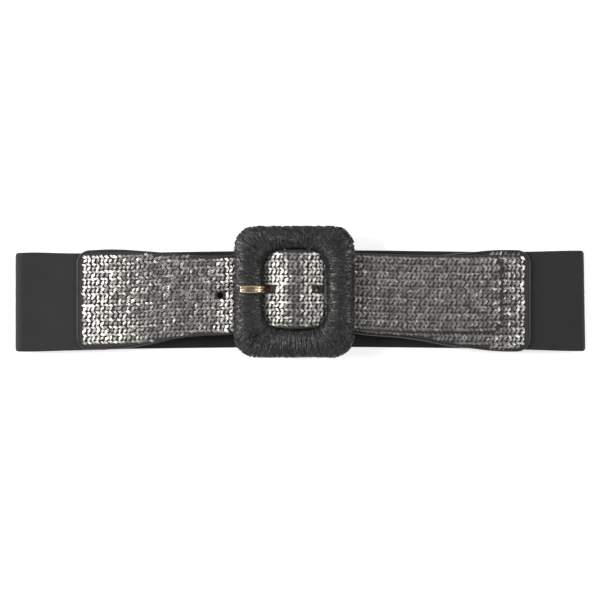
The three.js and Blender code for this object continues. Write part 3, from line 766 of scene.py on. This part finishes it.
# The first two are in metres, the next three in radians.
VARIES = {
    "along": (-0.0004, 0.0004),
    "across": (-0.0002, 0.0002),
    "slant": (-0.3, 0.3),
    "roll": (-0.16, 0.16),
    "pitch": (-0.1, 0.1),
    "size": (0.75, 1.15),
    "tint": (0.05, 0.55),
}
varied = {}
for shift, (what, (low, high)) in enumerate(VARIES.items(), start=1):
    seed = add(knit, "ShaderNodeMath", (given["Seed"], float(shift)), operation="ADD")
    varied[what] = add(
        knit, "FunctionNodeRandomValue", {2: low, 3: high, "Seed": seed}, data_type="FLOAT"
    ).outputs[1]
print("nodes so far:", len(knit.nodes))

# %% Where each leg lies in the flat
# Rows of legs slant by turns one way and the other, so side is 1 or -1.
position = add(knit, "GeometryNodeInputPosition")
spot = add(knit, "ShaderNodeSeparateXYZ", [position]).outputs
odd = spot["Y"]
for operation, value in (("DIVIDE", given["Leg row pitch"]), ("ROUND", 0.0), ("FLOORED_MODULO", 2.0)):
    odd = add(knit, "ShaderNodeMath", (odd, value), operation=operation)
side = add(knit, "ShaderNodeMath", (odd, -2.0, 1.0), operation="MULTIPLY_ADD")
half = add(knit, "ShaderNodeMath", (given["Length"], 0.5), operation="MULTIPLY")
along = add(knit, "ShaderNodeMath", (spot["X"], half), operation="ADD")
even_spot = add(knit, "ShaderNodeCombineXYZ", {"X": along, "Y": spot["Y"]})
along = add(knit, "ShaderNodeMath", (along, varied["along"]), operation="ADD")
across = add(knit, "ShaderNodeMath", (side, given["Leg pull"], spot["Y"]), operation="MULTIPLY_ADD")
across = add(knit, "ShaderNodeMath", (across, varied["across"]), operation="ADD")
flat_spot = add(knit, "ShaderNodeCombineXYZ", {"X": along, "Y": across})
print("nodes so far:", len(knit.nodes))

# %% Carry the legs onto the cloth
# A spot counts as on the cloth where the cloth also reaches a little past it on all four sides, and
# further towards the ends, where the rim is wider.
SIDE_STEPS = ((2.6, 0, 0), (-2.6, 0, 0), (0, 1, 0), (0, -1, 0))
cut_map = add(knit, "GeometryNodeInputNamedAttribute", {"Name": "flat_cut"}, data_type="FLOAT_VECTOR")
nap = add(knit, "GeometryNodeInputNamedAttribute", {"Name": "nap"}, data_type="FLOAT_VECTOR")
upright = add(knit, "GeometryNodeInputNormal")
lying = add(knit, "ShaderNodeVectorMath", (upright, nap), operation="ADD")
cloth = {"Mesh": given["Geometry"], "UV Map": cut_map}
place, normal, lean = (
    add(
        knit,
        "GeometryNodeSampleUVSurface",
        {**cloth, "Value": value, "Sample UV": flat_spot},
        data_type="FLOAT_VECTOR",
    ).outputs
    for value in (position, lying, nap)
)
on_cloth = place[1]
for step in SIDE_STEPS:
    beside = add(
        knit, "ShaderNodeVectorMath", {0: step, "Scale": given["Clear of edge"]}, operation="SCALE"
    )
    beside = add(knit, "ShaderNodeVectorMath", (even_spot, beside), operation="ADD")
    inside = add(
        knit,
        "GeometryNodeSampleUVSurface",
        {**cloth, "Value": lying, "Sample UV": beside},
        data_type="FLOAT_VECTOR",
    ).outputs[1]
    on_cloth = add(knit, "FunctionNodeBooleanMath", (on_cloth, inside), operation="AND")
laid = grid
for label, value, kind in (
    ("up", normal[0], "FLOAT_VECTOR"),
    ("side", side, "FLOAT"),
    ("on_cloth", on_cloth, "BOOLEAN"),
):
    laid = add(
        knit,
        "GeometryNodeStoreNamedAttribute",
        {"Geometry": laid, "Name": label, "Value": value},
        data_type=kind,
        domain="POINT",
    )
print("nodes so far:", len(knit.nodes))

# %% Raise the leaning legs and drop those off the cloth
# A leg that leans would sink at one end, so it is raised by a share of its length.
RAISED_SHARE = 0.42
lean = add(knit, "ShaderNodeVectorMath", [lean[0]], operation="LENGTH").outputs["Value"]
reach = add(knit, "ShaderNodeMath", (given["Leg length"], RAISED_SHARE), operation="MULTIPLY")
reach = add(knit, "ShaderNodeMath", (lean, reach), operation="MULTIPLY")
raised = add(knit, "ShaderNodeVectorMath", {0: normal[0], "Scale": reach}, operation="SCALE")
spread = add(knit, "GeometryNodeSetPosition", {"Geometry": laid, "Position": place[0], "Offset": raised})
off_cloth = add(knit, "GeometryNodeInputNamedAttribute", {"Name": "on_cloth"}, data_type="BOOLEAN")
off_cloth = add(knit, "FunctionNodeBooleanMath", [off_cloth], operation="NOT")
points = add(knit, "GeometryNodeDeleteGeometry", (spread, off_cloth), domain="POINT")
print("nodes so far:", len(knit.nodes))

# %% Turn each leg and set it down
# A strand is a bead with six sides, turned so that a flat side is on top and catches the light. A leg
# is two of them side by side, each STRAND_OFF from the middle and turned a little its own way.
up = add(knit, "GeometryNodeInputNamedAttribute", {"Name": "up"}, data_type="FLOAT_VECTOR")
side = add(knit, "GeometryNodeInputNamedAttribute", {"Name": "side"}, data_type="FLOAT")
ahead = add(knit, "ShaderNodeVectorMath", ((0.0, 1.0, 0.0), up), operation="CROSS_PRODUCT")
facing = add(knit, "FunctionNodeAlignRotationToVector", {"Vector": up}, axis="Z")
facing = {"Rotation": facing, "Vector": ahead}
facing = add(knit, "FunctionNodeAlignRotationToVector", facing, axis="X", pivot_axis="Z")
slant = add(knit, "ShaderNodeMath", (side, given["Slant"]), operation="MULTIPLY")
slant = add(knit, "ShaderNodeMath", (slant, varied["slant"]), operation="ADD")
own_turn = add(knit, "ShaderNodeCombineXYZ", (varied["roll"], varied["pitch"], slant))
own_turn = add(knit, "FunctionNodeEulerToRotation", [own_turn])
turned = add(knit, "FunctionNodeRotateRotation", (facing, own_turn), rotation_space="LOCAL")
bead = add(knit, "GeometryNodeMeshUVSphere", {"Segments": 6, "Rings": 4, "Radius": 0.5})
bead = add(knit, "GeometryNodeTransform", {"Geometry": bead, "Rotation": (0.0, 0.0, math.pi / 6)})
leg = add(knit, "GeometryNodeJoinGeometry")
STRAND_OFF, STRAND_SCALE = 0.26, (1.0, 0.5, 1.0)
for shift, yaw in ((-STRAND_OFF, 0.12), (STRAND_OFF, -0.08)):
    strand = {"Geometry": bead, "Rotation": (0.0, math.pi / 2, yaw), "Scale": STRAND_SCALE}
    strand["Translation"] = (shift * 0.3, shift, 0.0)
    strand = add(knit, "GeometryNodeTransform", strand)
    knit.links.new(strand.outputs[0], leg.inputs[0])
size = add(knit, "ShaderNodeCombineXYZ", [given[f"Leg {side}"] for side in ("length", "width", "height")])
size = add(knit, "ShaderNodeVectorMath", {0: size, "Scale": varied["size"]}, operation="SCALE")
legs = add(
    knit,
    "GeometryNodeInstanceOnPoints",
    {"Points": points, "Instance": leg, "Rotation": turned, "Scale": size},
)
legs = add(
    knit,
    "GeometryNodeStoreNamedAttribute",
    {"Geometry": legs, "Name": "tint", "Value": varied["tint"]},
    data_type="FLOAT",
    domain="INSTANCE",
)
end_tree(knit, legs, given["Material"])
print("stitch tree:", len(knit.nodes), "nodes")

# %% Facings
# NAP says where along the belt, in mm, and by how much, in radians, the legs lean to the wide end.
# Below 0 they lean to the tip. The rings of FACING dip where the facing is sewn down.
FACING = [(3.6, 1.72), (3.0, 1.66), (2.6, 1.55), (2.3, 1.6), (2.0, 1.78), (1.75, 1.8), (1.55, 1.65)]
FACING += [(1.42, 1.45), (1.5, 1.32), (2.4, 1.3)]
NAP = [(-140, 0.12), (-132, 0.24), (-127, 0.18), (-122, 0.18), (-117, 0.12), (-112, 0.1)]
NAP += [(-106, 0.06), (-98, 0.04), (-60, 0.03), (-53, 0.1), (-48, 0.22), (-43, 0.3), (-25, -0.16)]
NAP += [(-18.5, -0.02), (-13.5, 0.05), (-8.6, 0), (-3.7, 0), (1.2, -0.03), (6.2, -0.1), (11, 0.01)]
NAP += [(16, 0.12), (25, 0), (34, -0.06), (46, -0.03), (60, 0.02), (75, 0.05), (114, 0.06)]
NAP += [(122, 0), (128, 0), (132, -0.02), (135, -0.16), (139, -0.24)]
facings = []
for name, path, outline, corners, holes, spread in (
    ("strap_knit", strap_path, strap_outline, STRAP_CORNERS, strap_holes, 1.2),
    ("tab_knit", tab_path, tab_outline, TAB_CORNERS, slot_in_fold, 0.0),
):
    skin = leaf(f"{name}_ground", path, outline, corners, FACING, 1.6, 36, uneven=0.05, spread=spread)
    holes_through(skin, holes)
    at = np.array([v.co.x for v in skin.data.vertices]) / MM
    nap_there = np.zeros((len(at), 3))
    nap_there[:, 0] = -np.interp(at, *np.array(NAP).T)
    skin.data.attributes.new("nap", "FLOAT_VECTOR", "POINT").data.foreach_set("vector", nap_there.ravel())
    skin.data.materials.clear()
    skin.data.materials.append(ground_and_shade)
    stitches = grow(
        f"{name}_stitches",
        skin,
        knit,
        {"Length": path.along[-1] * MM, "Width": 0.066, "Seed": 7, "Material": ribbon_yarn},
    )
    facings.append((skin, stitches))

# %% [markdown]
# ## The buckle frame and its raffia
# The frame is a stiff rounded rectangle, wound all round with black raffia. Along the sides the turns
# lie square to the frame; round a corner they fan out, packed on each other at the window and spread
# at the outside. The core follows the same rule as the CAD solid, a little smaller, and its UV map
# counts distance round the frame and round the section. One long spiral drawn in that flat map,
# carried onto the core by Sample UV Surface, becomes the winding. Raffia is a flat leaf strip that
# twists as it is wound, so its glints come and go: the spiral sweeps a flattened profile, twisted
# along its length. Over the close winding goes a second, looser and finer one of the same tree,
# for the strands that stray.

# %% Round the frame
BUCKLE_CORNER, WINDOW_CORNER, WOUND_IN = 13, 10.5, 1.0


def outer_edge(origin, direction, half):
    """Where a ray from the window's corner meets the rounded outline, in one quarter of the frame."""
    to_side = (half[0] - origin[0]) / max(direction[0], 1e-9)
    on_side = origin + to_side * direction
    corner = half - BUCKLE_CORNER
    if on_side[1] <= corner[1]:
        return on_side
    on_top = origin + (half[1] - origin[1]) / max(direction[1], 1e-9) * direction
    if on_top[0] <= corner[0]:
        return on_top
    away = origin - corner
    b = away @ direction
    return origin + (-b + math.sqrt(b * b - away @ away + BUCKLE_CORNER**2)) * direction


def frame_pairs():
    """Matching points on the window and on the outline, all round the frame."""
    half = BUCKLE_SIZE / 2
    half_window = (WINDOW_SIZE - (0, WOUND_IN)) / 2
    centre = (BUCKLE_SHIFT, 0)
    pairs = []
    for quarter, signs in enumerate(((1, 1), (-1, 1), (-1, -1), (1, -1))):
        signs = np.array(signs)
        corner = signs * (WINDOW_SHIFT, WINDOW_LIFT) + half_window - WINDOW_CORNER
        for i in range(25):
            share = i / 24 if quarter % 2 == 0 else 1 - i / 24
            direction = np.array([math.cos(share * math.pi / 2), math.sin(share * math.pi / 2)])
            inner = corner + WINDOW_CORNER * direction
            outer = outer_edge(corner, direction, half)
            pairs.append((signs * inner + centre, signs * outer + centre))
    pairs = np.array(pairs)
    full = []
    for here, there in zip(pairs, np.roll(pairs, -1, axis=0)):
        steps = max(1, round(np.linalg.norm(there[0] - here[0]) / 2))
        full += [between(here, there, j / steps) for j in range(steps)]
    return np.array(full + [full[0]])


pairs = frame_pairs()
inner_step = np.linalg.norm(np.diff(pairs[:, 0], axis=0), axis=1)
outer_step = np.linalg.norm(np.diff(pairs[:, 1], axis=0), axis=1)
round_frame = np.concatenate([[0], np.cumsum(0.45 * inner_step + 0.55 * outer_step)])
print("frame measures", round(round_frame[-1], 1), "mm round, just outside its middle")

# %% Frame core
# The core lies SINK below the CAD solid, so that the raffia over it has room.
SECTION_SIDES, SINK, SECTION_ROUND = 40, 0.42, 0.04
angle = np.linspace(0, 2 * math.pi, SECTION_SIDES + 1)
middle, reach = pairs.mean(axis=1), (pairs[:, 1] - pairs[:, 0]) / 2
shrink = 1 - SINK / np.linalg.norm(reach, axis=1)
flat_points = middle[:, None] + (reach * shrink[:, None])[:, None] * np.cos(angle)[None, :, None]
heights = frame_middle + (FRAME_THICKNESS / 2 - SINK) * np.sin(angle)
rings_of_core = np.concatenate(
    [flat_points, np.broadcast_to(heights[None, :, None], (*flat_points.shape[:2], 1))], axis=2
)
count, sides = len(pairs), SECTION_SIDES + 1
cell = np.arange(count * sides).reshape(count, sides)
faces = grid_faces(cell)
core = mesh_object("buckle_core", rings_of_core.reshape(-1, 3), faces.tolist())
section = np.tile(angle / (2 * math.pi) * SECTION_ROUND, count)
where = np.stack([np.repeat(round_frame * MM, sides), section], axis=1)
core.data.uv_layers.new(name="flat_cut").data.foreach_set("uv", where[faces.ravel()].ravel())
work = bmesh.new()
work.from_mesh(core.data)
bmesh.ops.remove_doubles(work, verts=work.verts, dist=1e-6)
work.to_mesh(core.data)
work.free()
face_outwards(core)
print("core", len(core.data.polygons), "faces")

# %% Raffia material
# Dyed leaf: almost black, glossier than cloth, with fibres that run in colour, gloss and relief.
raffia, tree = finish_named("dyed_raffia", Roughness=0.4, Specular_IOR_Level=0.9)
# The colour also follows each strand's tint, paler where the strand stands higher: painted light and shade.
fibre, mixed = streaks(tree, 650.0, 4.0, 0.6)
patterned(tree, mixed, "#060606", "#343332", rough=(fibre, 0.26, 0.5), bump=(fibre, 1.0, 0.3))

# %% Winding tree: one long spiral in the flat
# A turn stops just short of a whole one, so that no point falls on the seam of the flat map.
winding, given = start_tree(
    "raffia_winding",
    {
        "Round": 0.22,
        "Section": SECTION_ROUND,
        "Turns": 300,
        "Points a turn": 26,
        "Strand": 0.00055,
        "Twist": 850.0,
        "Slant": 0.001,
        "Lift": 0.0002,
        "Seed": 3,
        "Material": None,
    },
)
NEARLY_ROUND = 0.9998
total = add(winding, "ShaderNodeMath", (given["Turns"], given["Points a turn"]), operation="MULTIPLY")
line = add(winding, "GeometryNodeMeshLine", {"Count": total})
index = add(winding, "GeometryNodeInputIndex")
turns = add(winding, "ShaderNodeMath", (index, given["Points a turn"]), operation="DIVIDE")
share = add(winding, "ShaderNodeMath", (turns, given["Turns"]), operation="DIVIDE")
phase = add(winding, "ShaderNodeMath", [turns], operation="FRACT")
phase = add(winding, "ShaderNodeMath", (phase, NEARLY_ROUND), operation="MULTIPLY")
noises = []
for pace, detail in ((3.1, 1.0), (2.3, 2.0)):
    noise = add(winding, "ShaderNodeMath", (turns, pace, given["Seed"]), operation="MULTIPLY_ADD")
    noise = {"W": noise, "Scale": 1.0, "Detail": detail}
    noises.append(add(winding, "ShaderNodeTexNoise", noise, noise_dimensions="1D"))
wander, lift = noises
wander = add(winding, "ShaderNodeMath", (wander, 0.5), operation="SUBTRACT")
wander = add(winding, "ShaderNodeMath", (wander, given["Slant"]), operation="MULTIPLY")
u = share
for operation, value in (("MULTIPLY", given["Round"]), ("ADD", wander), ("FLOORED_MODULO", given["Round"])):
    u = add(winding, "ShaderNodeMath", (u, value), operation=operation)
v = add(winding, "ShaderNodeMath", (phase, given["Section"]), operation="MULTIPLY")
flat_spot = add(winding, "ShaderNodeCombineXYZ", {"X": u, "Y": v})
print("nodes so far:", len(winding.nodes))

# %% Winding tree: onto the core, and a strand along it
core_map = add(
    winding, "GeometryNodeInputNamedAttribute", {"Name": "flat_cut"}, data_type="FLOAT_VECTOR"
)
place, normal = (
    add(
        winding,
        "GeometryNodeSampleUVSurface",
        {"Mesh": given["Geometry"], "Value": value, "UV Map": core_map, "Sample UV": flat_spot},
        data_type="FLOAT_VECTOR",
    )
    for value in (add(winding, "GeometryNodeInputPosition"), add(winding, "GeometryNodeInputNormal"))
)
height = add(winding, "ShaderNodeMath", (lift, given["Lift"]), operation="MULTIPLY")
raised = add(winding, "ShaderNodeVectorMath", {0: normal, "Scale": height}, operation="SCALE")
# Strands that stand higher are coloured paler and sunken ones darker: painted light and shade by height.
painted_light_by_lift = add(winding, "ShaderNodeMath", (lift, 0.3), operation="SUBTRACT")
tinted = add(
    winding,
    "GeometryNodeStoreNamedAttribute",
    {"Geometry": line, "Name": "tint", "Value": painted_light_by_lift},
    data_type="FLOAT",
    domain="POINT",
)
spiral = {"Geometry": tinted, "Position": place, "Offset": raised}
spiral = add(winding, "GeometryNodeSetPosition", spiral)
strand = add(winding, "GeometryNodeMeshToCurve", {"Mesh": spiral})
length = add(winding, "GeometryNodeSplineParameter").outputs["Length"]
twist = add(winding, "ShaderNodeMath", (length, given["Twist"], given["Seed"]), operation="MULTIPLY_ADD")
strand = add(winding, "GeometryNodeSetCurveTilt", {"Curve": strand, "Tilt": twist})
profile = {"Resolution": 5, "Radius": given["Strand"]}
profile = add(winding, "GeometryNodeCurvePrimitiveCircle", profile)
profile = add(winding, "GeometryNodeTransform", {"Geometry": profile, "Scale": (1.0, 0.4, 1.0)})
yarn = add(winding, "GeometryNodeCurveToMesh", {"Curve": strand, "Profile Curve": profile})
end_tree(winding, yarn, given["Material"])
print("winding tree:", len(winding.nodes), "nodes")

# %% Wind the frame
# Sizes in metres. The close winding covers the core, and the loose one strays over it.
core.data.materials.append(raffia)
every_turn = {"Round": round_frame[-1] * MM, "Material": raffia}
close = {"Turns": 290, "Slant": 0.004, "Lift": 0.0005}
loose = {"Turns": 130, "Slant": 0.013, "Lift": 0.0009, "Strand": 0.00045, "Twist": 1100.0, "Seed": 11}
raffia_turns = grow("buckle_raffia", core, winding, {**every_turn, **close})
loose_turns = grow("buckle_raffia_loose", core, winding, {**every_turn, **loose})

# %% [markdown]
# ## Prong and centre bar
# The prong is cast in pale gold coloured brass, with two rounded ridges and a groove along its face. It
# sits on the steel centre bar by an eye, rises through the hole in use and rests on the frame's left
# side. Its shaft is a rounded section swept along a smooth curve through a few named places, so it
# follows the hole and the frame when they move. The bar is the CAD's own rod, because its shape is
# right and the strap hides it.

# %% The prong's line
PRONG_WIDTH, PRONG_THICKNESS, NECK_WIDTH, NECK_THICKNESS = 5, 1.8, 2.8, 1.2
PRONG_GROOVE, GROOVE_SHARE, SQUARENESS = 0.4, 0.38, 0.7
EYE_THICKNESS, EYE_WIDTH, EYE_RIM_WIDTH = 1.5, 5, 3.8


def spline(knots, count):
    """Evenly spaced points on a smooth curve through the knots."""
    knots = np.concatenate([knots[:1], knots, knots[-1:]])
    fine = []
    for a, b, c, d in zip(knots, knots[1:], knots[2:], knots[3:]):
        t = np.linspace(0, 1, 40, endpoint=False)[:, None]
        bend = (2 * a - 5 * b + 4 * c - d) * t**2 + (3 * b - a - 3 * c + d) * t**3
        fine.append(b + ((c - a) * t + bend) / 2)
    fine = np.concatenate([*fine, knots[-1:]])
    along = np.concatenate([[0], np.cumsum(np.linalg.norm(np.diff(fine, axis=0), axis=1))])
    even = np.linspace(0, along[-1], count)
    return np.stack([np.interp(even, along, fine[:, i]) for i in (0, 1)], axis=1)


def over_left_side(degrees, clearance):
    """A point over the frame's left side, the degrees counted from the window."""
    turn = math.radians(degrees)
    a, b = (window_left - buckle_left) / 2, FRAME_THICKNESS / 2
    away = np.array([math.cos(turn) / a, math.sin(turn) / b])
    away /= np.linalg.norm(away)
    return np.array([left_bar + a * math.cos(turn), frame_middle + b * math.sin(turn)]) + clearance * away


at_hole = np.argmax(strap_path.points[:, 0] <= window_x - PRONG_REACH)
in_hole = strap_path.points[at_hole] + STRAP_THICKNESS / 2 * strap_path.outward[at_hole]
knots = np.array(
    [
        (window_x - wrap_radius - EYE_THICKNESS / 2, bar_level),
        (window_x - 0.5 * PRONG_REACH, bar_level),
        (window_x - 0.8 * PRONG_REACH, bar_level - 3 * LAYER_GAP),
        in_hole,
        *(over_left_side(turn, LAYER_GAP + PRONG_THICKNESS / 2) for turn in (32, 60, 90, 122)),
    ]
)
line = spline(knots, 70)
ahead = np.gradient(line, axis=0)
ahead /= np.linalg.norm(ahead, axis=1)[:, None]
outward = np.stack([ahead[:, 1], -ahead[:, 0]], axis=1)
print("prong's line:", round(float(np.linalg.norm(np.diff(line, axis=0), axis=1).sum()), 1), "mm")

# %% Prong
# It is narrow where it goes down through the hole, widest on the frame, and blunt at its end.
share = np.linspace(0, 1, len(line))
wide_at, wide_share = (0, 0.2, 0.34, 0.44, 0.54, 0.7, 0.84, 1), (0.6, 0.3, 0, 0.2, 0.6, 0.8, 0.8, 0.65)
wide = np.interp(share, wide_at, wide_share)
blunt = np.sqrt(np.clip(1 - ((share - 0.985) / 0.016).clip(0, 1) ** 2 * 0.5, 0.3, 1))
half_wide = blunt * between(NECK_WIDTH, PRONG_WIDTH, wide) / 2
half_thick = blunt * between(NECK_THICKNESS, PRONG_THICKNESS, wide) / 2
turn = np.linspace(0, 2 * math.pi, 28, endpoint=False)
across = np.sign(np.cos(turn)) * np.abs(np.cos(turn)) ** SQUARENESS
lift = np.sign(np.sin(turn)) * np.abs(np.sin(turn)) ** SQUARENESS
groove = np.where(lift > 0, PRONG_GROOVE * np.exp(-((across / GROOVE_SHARE) ** 2)), 0)
x = line[:, 0][:, None] + outward[:, 0][:, None] * (half_thick[:, None] * lift - groove)
z = line[:, 1][:, None] + outward[:, 1][:, None] * (half_thick[:, None] * lift - groove)
y = WINDOW_LIFT + half_wide[:, None] * across
shaft = np.stack([x, y, z], axis=2).reshape(-1, 3)
rows, sides = len(line), len(turn)
faces = [
    (i * sides + j, i * sides + (j + 1) % sides, (i + 1) * sides + (j + 1) % sides, (i + 1) * sides + j)
    for i in range(rows - 1)
    for j in range(sides)
]
faces += [tuple(range(sides)), tuple(range(sides * (rows - 1), sides * rows))]
prong = mesh_object("prong_cast", shaft, faces)

# %% The prong's eye
# A ring round the centre bar, with rounded edges. It is added to the prong's own mesh.
work = bmesh.new()
work.from_mesh(prong.data)
hoop_turn = np.linspace(0, 2 * math.pi, 40, endpoint=False)
rim = [(0, EYE_WIDTH / 2), (EYE_THICKNESS / 2, EYE_WIDTH / 2), (EYE_THICKNESS, EYE_RIM_WIDTH / 2)]
hoop_section = [(r, -w) for r, w in rim] + rim[::-1]
hoop = [
    [
        work.verts.new(
            (
                (window_x + (wrap_radius + r) * math.cos(a)) * MM,
                (WINDOW_LIFT + w) * MM,
                (bar_level + (wrap_radius + r) * math.sin(a)) * MM,
            )
        )
        for r, w in hoop_section
    ]
    for a in hoop_turn
]
for here, there in zip(hoop, hoop[1:] + hoop[:1]):
    for j in range(len(hoop_section)):
        k = (j + 1) % len(hoop_section)
        work.faces.new((here[j], here[k], there[k], there[j]))
work.to_mesh(prong.data)
work.free()
face_outwards(prong)
print("prong", len(prong.data.polygons), "faces")

# %% Metals
# Cast and tumbled brass is smooth and bright, with faint pits.
gold_brass, tree = finish_named("cast_brass_pale_gold", Metallic=1.0, Roughness=0.32)
where = add(tree, "ShaderNodeTexCoord").outputs["Object"]
cast = add(tree, "ShaderNodeTexNoise", {"Vector": where, "Scale": 700.0, "Detail": 3.0})
patterned(tree, cast, "#cbae82", "#f2dcb8", rough=(cast, 0.18, 0.36), bump=(cast, 0.2, 0.05))
prong.data.materials.append(gold_brass)

# Drawn rod: fine lines run along it, which is across the belt.
drawn_steel, tree = finish_named("drawn_steel", Metallic=1.0, Roughness=0.35)
where = add(tree, "ShaderNodeTexCoord").outputs["Object"]
drawn = add(tree, "ShaderNodeMapping", {"Vector": where, "Scale": (3000.0, 60.0, 3000.0)})
lines = add(tree, "ShaderNodeTexNoise", {"Vector": drawn, "Scale": 1.0, "Detail": 2.0})
patterned(tree, lines, "#76777a", "#a4a5a8", rough=(lines, 0.25, 0.5))
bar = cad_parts["centre_bar"]
bar.data.materials.clear()
bar.data.materials.append(drawn_steel)

# %% [markdown]
# ## Attach the pieces
# Each dressed piece rides on the belt's one body and stands for its CAD node, which is hidden. The
# areas of the strap's and the tab's flat cuts are worked out.

# %% Ride and replace
(strap_skin, strap_stitches), (tab_skin, tab_stitches) = facings
for made, slot in (
    (elastic, "elastic"),
    (strap_leather, "leather"),
    (tab_leather, "leather"),
    (strap_skin, "metallic_knit"),
    (strap_stitches, "metallic_knit"),
    (tab_skin, "metallic_knit"),
    (tab_stitches, "metallic_knit"),
    (core, "raffia"),
    (raffia_turns, "raffia"),
    (loose_turns, "raffia"),
    (prong, "brass"),
):
    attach(made, "root")
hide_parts("elastic_band")
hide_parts("strap_backing")
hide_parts("tab_backing")
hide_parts("strap_facing")
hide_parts("tab_facing")
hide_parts("buckle_frame")
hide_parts("prong")

strap_area = cut_area(strap_path, strap_outline, STRAP_CORNERS)
tab_area = cut_area(tab_path, tab_outline, TAB_CORNERS)
